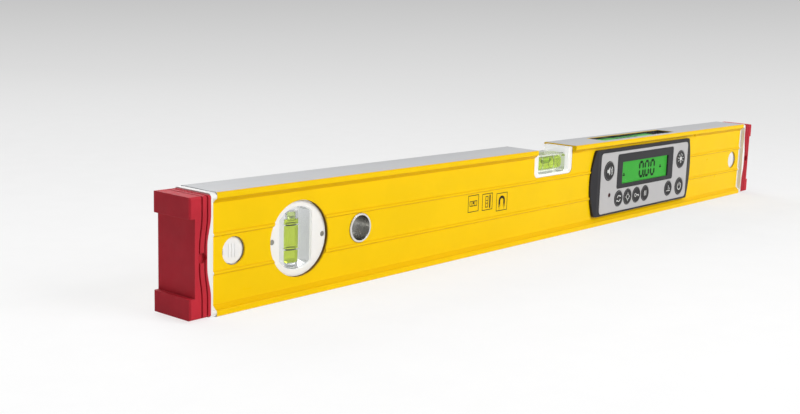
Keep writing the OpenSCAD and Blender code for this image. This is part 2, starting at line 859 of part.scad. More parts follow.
// The frame's plate: its left and right borders slope down to their outer edges
module unit_plate() {
    intersection() {
        extrude_y(0, unit_t) unit_outline(0);
        translate([unit_x, 0, 0])
            linear_extrude(height = profile_h)
                polygon([[-unit_w_mid / 2, 0], [-unit_w_mid / 2, unit_edge_t],
                    [-unit_w_mid / 2 + unit_slope, unit_t], [unit_w_mid / 2 - unit_slope, unit_t],
                    [unit_w_mid / 2, unit_edge_t], [unit_w_mid / 2, 0]]);
    }
}

module panel_outline(grow) {
    translate([panel_x, mid_z]) round_rect(panel_w + 2 * grow, panel_h + 2 * grow, 3);
}

module display_frame() {
    panel_gap = 0.15;
    color("dimgray")
        difference() {
            translate([0, -web_y, 0]) mirror([0, 1, 0]) unit_plate();
            extrude_y(front_y - overcut, panel_back) panel_outline(panel_gap);
            extrude_y(front_y - overcut, 0)
                translate([view_x, view_z])
                    square([view_w + 2 * (cell_border + cell_gap),
                        view_h + 2 * (cell_border + cell_gap)], center = true);
            for (k = KEYS)
                bar_y(k[3] + key_flange_w + frame_key_gap, front_y - overcut, 0, k[1], k[2]);
            bar_y(lamp_r + 0.2, front_y - overcut, 0, lamp_x, lamp_z);
            for (sx = [-1, 1], sz = [-1, 1])
                bar_y(bolt_r + bolt_gap, panel_back + 0.3, 0,
                    unit_x + sx * bolt_dx, mid_z + sz * bolt_dz);
        }
}

module key_panel() {
    color("lightgray")
        difference() {
            extrude_y(panel_y, panel_back) panel_outline(0);
            extrude_y(panel_y - overcut, 0)
                translate([bezel_x, bezel_z]) round_rect(bezel_w + 0.3, bezel_h + 0.3, 2);
            for (k = KEYS)
                bar_y(k[3] + key_gap, panel_y - overcut, 0, k[1], k[2]);
            bar_y(lamp_r + 0.2, panel_y - overcut, 0, lamp_x, lamp_z);
        }
}

module display_bezel() {
    color("darkslategray")
        difference() {
            extrude_y(bezel_y, panel_back)
                translate([bezel_x, bezel_z]) round_rect(bezel_w, bezel_h, 1.85);
            extrude_y(bezel_y - overcut, 0)
                translate([view_x, view_z]) round_rect(view_w, view_h, view_r);
        }
}

module display_lens() {
    color("aliceblue", 0.4)
        extrude_y(panel_back - lens_t - 0.3, panel_back - 0.3)
            translate([view_x, view_z]) round_rect(view_w - 0.2, view_h - 0.2, view_r);
}

module display_cell() {
    color("limegreen")
        extrude_y(panel_back + 0.1, board_y - 0.1)
            translate([view_x, view_z])
                square([view_w + 2 * cell_border, view_h + 2 * cell_border], center = true);
}

module status_lamp() {
    color("red") bar_y(lamp_r, panel_y, board_y - fine, lamp_x, lamp_z);
}

module key_mat() {
    color("darkgray")
        difference() {
            union() {
                extrude_y(mat_y, board_y)
                    translate([unit_x, mid_z])
                        square([board_w - 2, board_h - 2], center = true);
                for (k = KEYS)
                    translate([k[1], mat_y + eps, k[2]]) rotate([90, 0, 0])
                        cylinder(r1 = dome_r, r2 = dome_r - 1, h = mat_y - dome_top);
            }
            extrude_y(-web_w, 0)
                translate([view_x, view_z])
                    square([view_w + 2 * cell_border + 0.6, view_h + 2 * cell_border + 0.6],
                        center = true);
            bar_y(lamp_r + 0.2, -web_w, 0, lamp_x, lamp_z);
            for (sx = [-1, 1], sz = [-1, 1])
                bar_y(post_r + 0.4, -web_w, 0, unit_x + sx * bolt_dx, mid_z + sz * bolt_dz);
        }
}

module circuit_board() {
    chip = [14, 1.2, 14];
    color("darkgreen")
        difference() {
            union() {
                extrude_y(board_y, board_back)
                    translate([unit_x, mid_z]) square([board_w, board_h], center = true);
                for (dx = [-18, 22])
                    translate([unit_x + dx, board_back + chip[1] / 2 - eps, mid_z])
                        cube(chip, center = true);
            }
            for (sx = [-1, 1], sz = [-1, 1])
                bar_y(post_r + 0.3, -web_w, web_w, unit_x + sx * bolt_dx, mid_z + sz * bolt_dz);
        }
}

module tilt_sensor() {
    color("silver")
        translate([sensor_x, board_back + sensor_size[1] / 2, mid_z])
            cube(sensor_size, center = true);
}

module beeper() {
    vent_r = 1;
    color("black")
        difference() {
            bar_y(beeper_r, board_back, board_back + beeper_h, beeper_x, beeper_z);
            bar_y(vent_r, board_back + beeper_h - 1, board_back + beeper_h + 1, beeper_x, beeper_z);
        }
}

// One push key with its retaining flange and stem
module key(index) {
    k = KEYS[index];
    edge = 0.3;
    color("black") {
        bar_y(k[3], key_front + edge, key_back - key_flange_t + eps, k[1], k[2]);
        translate([k[1], key_front + edge, k[2]]) rotate([90, 0, 0])
            cylinder(r1 = k[3], r2 = k[3] - edge, h = edge);
        bar_y(k[3] + key_flange_w, key_back - key_flange_t, key_back, k[1], k[2]);
        bar_y(stem_r, key_back - eps, stem_end, k[1], k[2]);
    }
}

module module_chassis() {
    color("slategray")
        difference() {
            union() {
                extrude_y(-chassis_y, chassis_y)
                    translate([unit_x, mid_z])
                        difference() {
                            round_rect(chassis_w, chassis_h, 1);
                            square([chassis_in_w, chassis_in_h], center = true);
                        }
                extrude_y(deck_y, deck_y + deck_t)
                    translate([unit_x, mid_z])
                        square([chassis_w - chassis_t, chassis_h - chassis_t], center = true);
                for (dx = [-32, 0, 32], sz = [-1, 1])
                    bar_y(1.5, board_back, deck_y + eps, unit_x + dx, mid_z + sz * 13);
                extrude_y(deck_y, chassis_y)
                    translate([bay_x, mid_z])
                        difference() {
                            square([bay_w + 2 * bay_t, bay_h + 2 * bay_t], center = true);
                            square([bay_w, bay_h], center = true);
                        }
                bar_y(coin_shank_r + 2.6, deck_y, chassis_y, coin_x, mid_z);
                for (sx = [-1, 1], sz = [-1, 1])
                    bar_y(post_r, -chassis_y, chassis_y,
                        unit_x + sx * bolt_dx, mid_z + sz * bolt_dz);
            }
            for (sx = [-1, 1], sz = [-1, 1])
                bar_y(bolt_r + bolt_gap, -web_w, web_w,
                    unit_x + sx * bolt_dx, mid_z + sz * bolt_dz);
            bar_y(coin_shank_r + coin_gap, deck_y + 3, web_w, coin_x, mid_z);
            bar_y(beeper_r + 0.6, deck_y - overcut, deck_y + deck_t + overcut,
                beeper_x, beeper_z);
            translate([slot_x, ribbon_y, mid_z + chassis_h / 2 - chassis_t / 2])
                cube([ribbon_w + 2, ribbon_t + 1, 2 * chassis_t], center = true);
        }
}

module rear_frame() {
    color("dimgray")
        difference() {
            translate([0, web_y, 0]) unit_plate();
            extrude_y(rebate_y, rear_y + overcut)
                translate([cover_x, mid_z])
                    round_rect(cover_w + 2 * cover_gap, cover_h + 2 * cover_gap, 2);
            extrude_y(0, rear_y + overcut)
                translate([bay_x, mid_z]) square([bay_w, bay_h], center = true);
            bar_y(coin_shank_r + 1, 0, rear_y + overcut, coin_x, mid_z);
            for (sx = [-1, 1], sz = [-1, 1]) {
                bar_y(bolt_r + bolt_gap, 0, rear_y + overcut,
                    unit_x + sx * bolt_dx, mid_z + sz * bolt_dz);
                bar_y(bolt_head_r + 0.2, rear_y - bolt_head_t - 0.3, rear_y + overcut,
                    unit_x + sx * bolt_dx, mid_z + sz * bolt_dz);
            }
        }
}

module frame_screws() {
    head_y = rear_y - 0.3;
    socket_r = 1;
    color("silver")
        for (sx = [-1, 1], sz = [-1, 1])
            difference() {
                union() {
                    bar_y(bolt_r, panel_back + 0.4, head_y - fine,
                        unit_x + sx * bolt_dx, mid_z + sz * bolt_dz);
                    bar_y(bolt_head_r, head_y - bolt_head_t, head_y,
                        unit_x + sx * bolt_dx, mid_z + sz * bolt_dz);
                }
                translate([unit_x + sx * bolt_dx, head_y + 0.4, mid_z + sz * bolt_dz])
                    rotate([90, 0, 0]) cylinder(r = socket_r, h = 1, $fn = 6);
            }
}

// Two round cells side by side, head to tail
module battery_cells() {
    nub_r = 2.7;
    nub_h = 1.2;
    edge = 0.6;
    color("steelblue")
        for (s = [-1, 1])
            translate([bay_x - s * nub_h / 2, cell_y, mid_z + s * cell_dz])
                rotate([0, 90 * s, 0]) {
                    cylinder(r = cell_d / 2, h = cell_len - 2 * edge, center = true);
                    for (e = [0, 1]) mirror([0, 0, e])
                        translate([0, 0, cell_len / 2 - edge])
                            cylinder(r1 = cell_d / 2, r2 = cell_d / 2 - edge, h = edge);
                    translate([0, 0, cell_len / 2 - eps]) cylinder(r = nub_r, h = nub_h + eps);
                }
}

// Spring-steel strips at both ends of the bay, bowed towards the cells
module battery_contacts() {
    strip_t = 0.4;
    strip_w = 8;
    bow = contact_room - 0.4;
    color("silver")
        for (sx = [-1, 1], sz = [-1, 1])
            translate([bay_x + sx * bay_w / 2, cell_y, mid_z + sz * cell_dz])
                mirror([sx > 0 ? 1 : 0, 0, 0])
                    rotate([90, 0, 0])
                        linear_extrude(height = strip_w, center = true)
                            difference() {
                                polygon([[0.1, -5], [bow, -1], [bow, 1], [0.1, 5]]);
                                polygon([[0.1 + strip_t, -4], [bow - strip_t, -0.8],
                                    [bow - strip_t, 0.8], [0.1 + strip_t, 4]]);
                            }
}

module battery_cover() {
    grip_pitch = 2.6;
    grip_t = 0.2;
    color("dimgray")
        difference() {
            union() {
                extrude_y(seal_y, cover_y)
                    translate([cover_x, mid_z]) round_rect(cover_w, cover_h, 1.8);
                for (i = [0 : 4])
                    translate([cover_x - cover_w / 2 + 7 + i * grip_pitch, cover_y, mid_z])
                        cube([1, 2 * grip_t, 0.6 * cover_h], center = true);
            }
            bar_y(coin_shank_r + 0.3, 0, web_w, coin_x, mid_z);
            bar_y(coin_r + 0.3, cover_y - coin_head_t - 0.15, web_w, coin_x, mid_z);
        }
}

module cover_seal() {
    seal_w = 1.6;
    color("black")
        extrude_y(rebate_y, seal_y)
            translate([cover_x, mid_z])
                difference() {
                    round_rect(cover_w - 2, cover_h - 2, 2);
                    round_rect(cover_w - 2 - 2 * seal_w, cover_h - 2 - 2 * seal_w, 1);
                }
}

module cover_screw() {
    head_y = cover_y - 0.1;
    slot_w = 1.3;
    slot_d = 0.5;
    color("silver")
        difference() {
            union() {
                bar_y(coin_shank_r, deck_y + 3.5, head_y - fine, coin_x, mid_z);
                bar_y(coin_r, head_y - coin_head_t, head_y, coin_x, mid_z);
            }
            translate([coin_x, head_y, mid_z])
                cube([2 * coin_r + 1, 2 * slot_d, slot_w], center = true);
        }
}

// Upper display

module upper_tray() {
    color("dimgray")
        difference() {
            union() {
                translate([upper_x, 0, tray_bottom])
                    linear_extrude(height = tray_top - tray_bottom)
                        round_rect(tray_w, tray_d, 0.8);
                translate([upper_x, 0, profile_h - face_t - 1.3])
                    linear_extrude(height = 1.2)
                        square([tray_w + 2 * tray_lip_w, tray_d], center = true);
            }
            translate([upper_x, 0, tray_bottom + tray_t])
                linear_extrude(height = face_t + 8)
                    square([tray_w - 2 * tray_t, tray_d - 2 * tray_t], center = true);
        }
}

module upper_lens() {
    color("aliceblue", 0.4)
        translate([upper_x, 0, tray_top - 0.2 - pane_t])
            linear_extrude(height = pane_t)
                square([tray_w - 2 * tray_t - 0.2, tray_d - 2 * tray_t - 0.2], center = true);
}

module upper_cell() {
    color("seagreen")
        translate([upper_cell_x, 0, tray_bottom + tray_t + fine])
            linear_extrude(height = tray_top - 0.2 - pane_t - 0.3 - tray_bottom - tray_t)
                square([upper_cell_w, tray_d - 2 * tray_t - 0.4], center = true);
}

module upper_ribbon() {
    ribbon_bottom = mid_z + board_h / 2 + fine;
    color("orange")
        translate([slot_x - ribbon_w / 2, ribbon_y - ribbon_t / 2, ribbon_bottom])
            cube([ribbon_w, ribbon_t, tray_bottom - ribbon_bottom - fine]);
}

// Magnets

module magnet_carrier(side) {
    color("red")
        translate([side * (half_len - magnet_from_end), 0, 0])
            difference() {
                union() {
                    translate([0, 0, carrier_face])
                        linear_extrude(height = carrier_h - carrier_face)
                            stadium(magnet_w, magnet_d);
                    translate([0, 0, face_t + 0.1])
                        linear_extrude(height = carrier_lip_t)
                            intersection() {
                                stadium(magnet_w + 2 * carrier_lip, magnet_d + 2 * carrier_lip);
                                square([magnet_w + 2 * carrier_lip,
                                    cavity_w - 2 * cavity_r + 0.6], center = true);
                            }
                }
                translate([0, 0, carrier_face + carrier_t])
                    linear_extrude(height = carrier_h)
                        stadium(magnet_w - 2 * carrier_t, magnet_d - 2 * carrier_t);
            }
}

module magnets(side) {
    row = magnet_w - 2 * carrier_t - 2 * magnet_disc_r - 1.6;
    color("lightgray")
        translate([side * (half_len - magnet_from_end), 0, carrier_face + carrier_t])
            for (i = [0 : magnet_count - 1])
                translate([row * (i / (magnet_count - 1) - 0.5), 0, 0])
                    cylinder(r = magnet_disc_r, h = magnet_disc_h);
}

// End caps, drawn for the right end, where X = 0 is the end of the profile

module at_cap(side) {
    mirror([side < 0 ? 1 : 0, 0, 0]) translate([half_len, 0, 0]) children();
}

// How much of its bow an edge has at a height above or below the cap's centre
function bow_at(dz) =
    (1 + cos(180 * (dz - bow_flat) / (bow_reach - bow_flat))) / 2;

// Everything that lies inside an upright edge that runs out by its bow at half height
module inside_bow(u, bow) {
    steps = 12;
    side = [for (i = [0 : steps])
        let (dz = bow_flat + (bow_reach - bow_flat) * i / steps) [u + bow * bow_at(dz), dz]];
    polygon(concat([[-overcut, -overcut], [u, -overcut]],
        [for (i = [steps : -1 : 0]) [side[i][0], cap_mid - side[i][1]]],
        [for (i = [0 : steps]) [side[i][0], cap_mid + side[i][1]]],
        [[u, profile_h + overcut], [-overcut, profile_h + overcut]]));
}

module cap_shell_body() {
    out = cap_out + stop_t;
    intersection() {
        translate([0, 0, (profile_h - cap_h) / 2])
            linear_extrude(height = cap_h)
                polygon([[0, -cap_w / 2], [out - cap_chamfer, -cap_w / 2],
                    [out, -cap_w / 2 + cap_chamfer], [out, cap_w / 2 - cap_chamfer],
                    [out - cap_chamfer, cap_w / 2], [0, cap_w / 2]]);
        extrude_x(3 * out)
            translate([0, cap_mid]) round_rect(cap_w, cap_h, cap_edge_r);
    }
}

// One flex groove, cut round the shell to the groove's depth
module flex_groove(u) {
    difference() {
        extrude_y(-profile_w, profile_w)
            difference() {
                inside_bow(u + groove_w, groove_bow);
                inside_bow(u, groove_bow);
            }
        translate([0, 0, cap_mid])
            cube([4 * cap_out, cap_w - 2 * groove_d, cap_h - 2 * groove_d], center = true);
    }
}

module cap_shell(side) {
    color("crimson")
        at_cap(side)
            difference() {
                cap_shell_body();
                extrude_y(-profile_w, profile_w) inside_bow(collar_t, cap_bow);
                translate([cap_out, -profile_w, (profile_h - cap_h) / 2 + stop_h])
                    cube([stop_t + overcut, 2 * profile_w, cap_h - 2 * stop_h]);
                flex_groove(groove_1);
                flex_groove(groove_2);
                for (s = [-1, 1])
                    translate([dimple_x, s * cap_w / 2, cap_mid]) rotate([90, 0, 0])
                        cylinder(r = dimple_r, h = 2 * dimple_d, center = true);
                translate([collar_t + spigot_len / 2, 0, 0])
                    extrude_x(spigot_len + 2 * eps)
                        translate([0, cap_mid]) round_rect(spigot_w, spigot_h, 3);
            }
}

module collar_outline() {
    translate([0, cap_mid]) round_rect(profile_w, profile_h - 2 * collar_trim, 2);
}

// Collar between the profile and the rubber, with its plug inside the profile
module cap_core(side) {
    bend_r = spring_y - spring_t - 0.1;
    tongue_len = -spring_x + sqrt(bend_r * bend_r - tongue_half * tongue_half);
    color("white")
        at_cap(side) {
            difference() {
                union() {
                    translate([collar_step / 2, 0, 0])
                        extrude_x(collar_step)
                            intersection() {
                                profile_outline();
                                collar_outline();
                            }
                    intersection() {
                        extrude_x(4 * cap_out) collar_outline();
                        extrude_y(-profile_w, profile_w)
                            intersection() {
                                inside_bow(collar_t, cap_bow);
                                translate([collar_step - eps, 0])
                                    square([2 * cap_out, profile_h]);
                            }
                    }
                    translate([(collar_t + spigot_len) / 2, 0, 0])
                        extrude_x(collar_t + spigot_len)
                            translate([0, cap_mid]) round_rect(spigot_w, spigot_h, 3);
                    translate([-plug_len / 2 + eps, 0, 0])
                        extrude_x(plug_len)
                            translate([0, cap_mid])
                                difference() {
                                    round_rect(plug_w, plug_h, cavity_r);
                                    square([plug_w - 2 * plug_t, plug_h - 2 * plug_t],
                                        center = true);
                                }
                }
                bar_y(button_r + button_gap, -profile_w, profile_w, -button_inset, cap_mid);
            }
            translate([-tongue_len, -tongue_half, cap_mid - 4])
                cube([tongue_len + eps, 2 * tongue_half, 8]);
        }
}

// A disc with a straight strip of the same width that runs from its centre to +X
module arch(r, len) {
    circle(r = r);
    translate([0, -r]) square([len, 2 * r]);
}

// Hairpin spring round the core's tongue: it pushes both buttons outwards, and the
// catches at its ends stand in the profile's round holes until the buttons are pressed
module cap_spring(side) {
    arm_end = -button_inset + button_flat + catch_gap + spring_t;
    color("silver")
        at_cap(side) {
            translate([spring_x, 0, cap_mid - spring_h / 2])
                linear_extrude(height = spring_h)
                    difference() {
                        arch(spring_y, arm_end - spring_x);
                        arch(spring_y - spring_t, arm_end - spring_x + overcut);
                    }
            for (s = [0, 1]) mirror([0, s, 0])
                translate([arm_end - spring_t, spring_y - spring_t, cap_mid - catch_h / 2])
                    cube([spring_t, catch_y - spring_y + spring_t, catch_h]);
        }
}

// Release button with its ribbed face, its flat and its flange behind the plug's wall
module release_button(side, face) {
    rib_w = 0.6;
    color("white")
        at_cap(side)
            mirror([0, face < 0 ? 1 : 0, 0])
                difference() {
                    union() {
                        bar_y(button_r, button_in_y + button_flange_t - eps, button_y,
                            -button_inset, cap_mid);
                        bar_y(button_r + button_flange_w, button_in_y,
                            button_in_y + button_flange_t, -button_inset, cap_mid);
                        for (dx = [-2, 0, 2])
                            translate([-button_inset + dx, button_y, cap_mid])
                                cube([rib_w, 2 * button_rib, button_r], center = true);
                    }
                    translate([-button_inset + button_flat, 0, cap_mid - profile_h / 2])
                        cube([2 * button_r, profile_w, profile_h]);
                }
}

profile();
hang_hole_sleeve();
plumb_insert();
plumb_insert_pins();
plumb_vial_block();
plumb_vial_plug();
plumb_vial_rings();
plumb_vial_liquid();
plumb_bubble();
level_cradle();
level_vial_block();
level_vial_plug();
level_vial_rings();
level_vial_liquid();
level_bubble();
display_frame();
key_panel();
display_bezel();
display_lens();
display_cell();
status_lamp();
key_mat();
circuit_board();
tilt_sensor();
beeper();
module_chassis();
key(0);  // speaker_key
key(1);  // light_key
key(2);  // power_key
key(3);  // reference_key
key(4);  // mode_key
key(5);  // calibrate_key
key(6);  // lock_key
key(7);  // hold_key
rear_frame();
frame_screws();
battery_cells();
battery_contacts();
battery_cover();
cover_seal();
cover_screw();
upper_tray();
upper_lens();
upper_cell();
upper_ribbon();
magnet_carrier(-1);  // left_magnet_carrier
magnets(-1);  // left_magnets
magnet_carrier(1);  // right_magnet_carrier
magnets(1);  // right_magnets
cap_shell(-1);  // left_cap_shell
cap_core(-1);  // left_cap_core
cap_spring(-1);  // left_cap_spring
cap_shell(1);  // right_cap_shell
cap_core(1);  // right_cap_core
cap_spring(1);  // right_cap_spring
release_button(-1, -1);  // left_front_button
release_button(-1, 1);  // left_rear_button
release_button(1, -1);  // right_front_button
release_button(1, 1);  // right_rear_button
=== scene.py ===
# Digital spirit level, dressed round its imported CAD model
import math

import bmesh
import bpy
from mathutils import Matrix, Vector


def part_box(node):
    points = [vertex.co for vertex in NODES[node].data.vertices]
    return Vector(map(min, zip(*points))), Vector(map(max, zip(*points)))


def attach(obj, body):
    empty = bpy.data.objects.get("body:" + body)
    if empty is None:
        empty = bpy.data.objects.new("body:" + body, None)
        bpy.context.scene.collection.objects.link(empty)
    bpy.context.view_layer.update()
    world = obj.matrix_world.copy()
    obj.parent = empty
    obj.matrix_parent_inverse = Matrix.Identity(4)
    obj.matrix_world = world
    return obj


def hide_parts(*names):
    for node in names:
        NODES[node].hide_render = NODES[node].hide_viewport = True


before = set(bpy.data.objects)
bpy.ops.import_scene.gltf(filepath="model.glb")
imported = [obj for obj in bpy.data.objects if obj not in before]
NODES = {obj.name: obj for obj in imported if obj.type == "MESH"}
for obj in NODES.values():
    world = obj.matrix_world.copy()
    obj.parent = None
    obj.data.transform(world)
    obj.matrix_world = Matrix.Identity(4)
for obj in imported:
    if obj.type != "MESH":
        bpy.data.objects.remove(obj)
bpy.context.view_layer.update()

MM = 0.001

# Sizes of the part's source that the pieces below repeat, in millimetres
MID_Z = 30.5
WEB_Y = 10.5
INSERT_X = -232.5
PLUMB_X, PLUMB_VIAL_LEN = -232.2, 27.0
LEVEL_X, LEVEL_Z, LEVEL_VIAL_LEN = -1.0, 49.925, 31.0
VIAL_R, VIAL_SAG = 4.5, 0.2
PLUMB_BLOCK_R, PLUMB_BLOCK_X, PLUMB_BLOCK_HALF = 16.5, -234.0, 11.1
LEVEL_BLOCK_SIZE, LEVEL_BLOCK_CORNER = (35.7, 12.95), 2.9
KEY_FLANGE = 0.4

# Films, fills and beads that only the scene has, in millimetres
INK = 0.02
PLUMB_AIR = 4.0
LIQUID_OVERLAP = 0.03
CEMENT_HALF_DEPTH, CEMENT_STEPS = 7.2, (-0.03, 0.12)
SEAL_RADII, SEAL_DEPTHS = (20.11, 20.24), (8.35, 9.8)

# Parts of a node that have a finish of their own or painted light (shade in the sleeve's bore, a
# glow on the window walls), as low and high corners in metres
PROFILE_HOLLOW = ((-1.0, -0.00845, 0.0029), (1.0, 0.00845, 0.0581))
WEB_CHANNEL = ((-1.0, -0.00945, 0.0227), (1.0, 0.00945, 0.0383))
BETWEEN_SAWN_ENDS = ((-0.28893, -1.0, -1.0), (0.28893, 1.0, 1.0))
# Bore of the sleeve, drawn darker as painted shade
SLEEVE_BORE = ((-1.0, -0.0110, -1.0), (1.0, 0.0110, 1.0))
PLUMB_WINDOW_GLOW = ((-0.2453, -0.0086, 0.0), (-0.2227, 0.0086, 0.061))
CRADLE_WINDOW_GLOW = ((-0.01915, -0.0103, 0.0431), (0.01715, 0.0103, 0.06))

# Where finishes meet on one node, in metres
BASE_EDGE, TOP_EDGE = (0.00004, 0.00008), (0.06096, 0.06092)
CELL_SLEEVE_HALF, CELL_STRIPE = 0.0231, (0.009, 0.0165)
CHIP_HEIGHT = 0.00115

# Camera of the photograph: place, lens and sensor in millimetres, turn in radians
CAMERA_PLACE = (-637.0, -435.6, 154.0)
CAMERA_YAW, CAMERA_PITCH, CAMERA_ROLL = 0.936, 0.175, 0.046
CAMERA_LENS, SENSOR_WIDTH = 51.44, 36
CAMERA_SHIFT = -0.125

# Light: the world's level, then each lamp's place, size in metres and watts
WORLD_LIGHT = 0.22
LAMPS = {
    "key_lamp": ((0.7, -2.3, 1.5), (1.6, 1.4), 62),
    "top_lamp": ((-0.2, 0.3, 2.0), (1.8, 1.2), 11),
    "rear_lamp": ((0.4, 2.2, 1.3), (1.8, 1.4), 32),
    "base_lamp": ((0.3, -0.5, -1.8), (1.8, 1.4), 24),
}
LAMP_TARGET = (0, 0, 0.03)

# Floor: height, reach and distances in metres, and its shares of light
FLOOR_Z, FLOOR_REACH = -0.0002, 12.0
FLOOR_FADE = (0.3, 1.6)  # how far out it shows less of the lamps' light, and then none
FLOOR_SHARE = 0.24  # of the light on it, shown round the level
FLOOR_LIT = 1.02  # strength of that light
PAPER_BOUNCE = 0.78  # what it throws back on the object
CLEAR_NEARER_THAN = 0.0016  # a ray that starts nearer passes through

# Backdrop: paper level at places from the picture's top, 0, to its foot, 1
PAPER_LEVELS = ((0.0, 0.567), (0.1, 0.66), (0.2, 0.742), (0.3, 0.815), (0.4, 0.87),
                (0.5, 0.915), (0.62, 0.955), (0.75, 0.985), (0.88, 1.0))
HEIGHTS_PER_SLOPE = 2.761  # picture heights that a slope of 1 in the line of sight covers


def camera_axes():
    yaw, pitch, roll = CAMERA_YAW, CAMERA_PITCH, CAMERA_ROLL
    look = Vector((math.sin(yaw) * math.cos(pitch), math.cos(yaw) * math.cos(pitch),
                   -math.sin(pitch)))
    level_right = Vector((math.cos(yaw), -math.sin(yaw), 0))
    level_up = level_right.cross(look)
    right = level_right * math.cos(roll) + level_up * math.sin(roll)
    up = level_up * math.cos(roll) - level_right * math.sin(roll)
    return right, up, look


def add_camera():
    right, up, look = camera_axes()
    lens = bpy.data.cameras.new("camera")
    lens.lens = CAMERA_LENS
    lens.sensor_width = SENSOR_WIDTH
    lens.shift_x = CAMERA_SHIFT
    lens.clip_start = 0.01
    lens.clip_end = 50
    camera = bpy.data.objects.new("camera", lens)
    turn = Matrix((right, up, -look)).transposed().to_4x4()
    camera.matrix_world = Matrix.Translation(Vector(CAMERA_PLACE) * MM) @ turn
    bpy.context.scene.collection.objects.link(camera)
    bpy.context.scene.camera = camera


# Short ways to add and link the nodes of a material or a group

def add_node(tree, kind, **values):
    node = tree.nodes.new(kind)
    for name, value in values.items():
        setattr(node, name, value)
    return node


def plug(tree, source, target):
    if isinstance(source, (int, float, tuple)):
        target.default_value = source
    else:
        tree.links.new(source, target)


def math_node(tree, operation, *inputs, clamp=False):
    node = add_node(tree, "ShaderNodeMath", operation=operation, use_clamp=clamp)
    for index, value in enumerate(inputs):
        plug(tree, value, node.inputs[index])
    return node.outputs[0]


def vector_math(tree, operation, *inputs):
    node = add_node(tree, "ShaderNodeVectorMath", operation=operation)
    for index, value in enumerate(inputs):
        plug(tree, value, node.inputs[index])
    return node.outputs["Value" if operation == "DOT_PRODUCT" else "Vector"]


def fade(tree, value, low, high, start=0.0, end=1.0):
    node = add_node(tree, "ShaderNodeMapRange", interpolation_type="SMOOTHSTEP")
    for index, source in enumerate((value, low, high, start, end)):
        plug(tree, source, node.inputs[index])
    return node.outputs[0]


def blend_value(tree, amount, first, second):
    node = add_node(tree, "ShaderNodeMix", data_type="FLOAT")
    plug(tree, amount, node.inputs[0])
    plug(tree, first, node.inputs[2])
    plug(tree, second, node.inputs[3])
    return node.outputs[0]


def blend_colour(tree, amount, first, second):
    node = add_node(tree, "ShaderNodeMix", data_type="RGBA")
    plug(tree, amount, node.inputs[0])
    plug(tree, first, node.inputs[6])
    plug(tree, second, node.inputs[7])
    return node.outputs[2]


def stretched_noise(tree, place, scale, stretch=(1.0, 1.0, 1.0), detail=2.0, roughness=0.5):
    node = add_node(tree, "ShaderNodeTexNoise")
    plug(tree, vector_math(tree, "MULTIPLY", place, stretch), node.inputs["Vector"])
    plug(tree, scale, node.inputs["Scale"])
    plug(tree, detail, node.inputs["Detail"])
    plug(tree, roughness, node.inputs["Roughness"])
    return node.outputs["Fac"]


def object_place(tree):
    return add_node(tree, "ShaderNodeTexCoord").outputs["Object"]


# Effects that several finishes share, each built once as a node group

def start_group(name, inputs, outputs):
    tree = bpy.data.node_groups.new(name, "ShaderNodeTree")
    for label, default in inputs.items():
        kind = "NodeSocketVector" if isinstance(default, tuple) else "NodeSocketFloat"
        socket = tree.interface.new_socket(label, in_out="INPUT", socket_type=kind)
        socket.default_value = default
    for label in outputs:
        tree.interface.new_socket(label, in_out="OUTPUT", socket_type="NodeSocketFloat")
    source = tree.nodes.new("NodeGroupInput").outputs
    target = tree.nodes.new("NodeGroupOutput").inputs
    return tree, source, target


def build_moulded_grain():
    """Fine pebbled skin of a moulded or coated surface; Size is the pebble in metres."""
    tree, source, target = start_group("moulded_grain", {"Size": 0.0003, "Softness": 0.5},
                                       ["Height", "Mottle"])
    place = object_place(tree)
    scale = math_node(tree, "DIVIDE", 1.0, source["Size"])
    pebble = add_node(tree, "ShaderNodeTexVoronoi", feature="SMOOTH_F1")
    plug(tree, place, pebble.inputs["Vector"])
    plug(tree, scale, pebble.inputs["Scale"])
    plug(tree, source["Softness"], pebble.inputs["Smoothness"])
    fine = stretched_noise(tree, place, scale, detail=3.0)
    plug(tree, blend_value(tree, 0.4, pebble.outputs["Distance"], fine), target["Height"])
    broad = stretched_noise(tree, place, 38.0, detail=4.0, roughness=0.6)
    plug(tree, fade(tree, broad, 0.3, 0.7), target["Mottle"])
    return tree


def build_handling_marks():
    """Roughness of a handled surface: Low where it is rubbed smooth, High elsewhere."""
    tree, source, target = start_group("handling_marks", {"Low": 0.3, "High": 0.4,
                                                          "Scale": 60.0}, ["Roughness"])
    place = object_place(tree)
    cloud = stretched_noise(tree, place, source["Scale"], detail=5.0, roughness=0.65)
    streak = stretched_noise(tree, place, source["Scale"], (0.3, 4.0, 4.0), 3.0)
    mixed = fade(tree, blend_value(tree, 0.35, cloud, streak), 0.32, 0.68)
    plug(tree, blend_value(tree, mixed, source["Low"], source["High"]), target["Roughness"])
    return tree


def build_tool_lines():
    """Parallel lines that a cutter leaves; Across is how they are squeezed along each axis."""
    tree, source, target = start_group("tool_lines", {"Across": (1.0, 1.0, 1.0),
                                                      "Scale": 900.0}, ["Height", "Mottle"])
    place = vector_math(tree, "MULTIPLY", object_place(tree), source["Across"])
    lines = stretched_noise(tree, place, source["Scale"], detail=4.0, roughness=0.7)
    broad = stretched_noise(tree, place, 30.0, detail=3.0)
    plug(tree, lines, target["Height"])
    plug(tree, fade(tree, broad, 0.3, 0.7), target["Mottle"])
    return tree


def build_soft_corner():
    """How near a point is to a sharp outer edge, from 0 on the flats to 1 at the edge."""
    tree, source, target = start_group("soft_corner", {"Reach": 0.0005, "Break": 0.5},
                                       ["Mask"])
    bevel = add_node(tree, "ShaderNodeBevel", samples=4)
    plug(tree, source["Reach"], bevel.inputs["Radius"])
    normal = add_node(tree, "ShaderNodeNewGeometry").outputs["Normal"]
    turn = vector_math(tree, "DOT_PRODUCT", bevel.outputs["Normal"], normal)
    edge = fade(tree, turn, 0.995, 0.85)
    broken = fade(tree, stretched_noise(tree, object_place(tree), 420.0, detail=4.0), 0.35, 0.65)
    plug(tree, math_node(tree, "MULTIPLY", edge, blend_value(tree, source["Break"], 1.0, broken)),
         target["Mask"])
    return tree


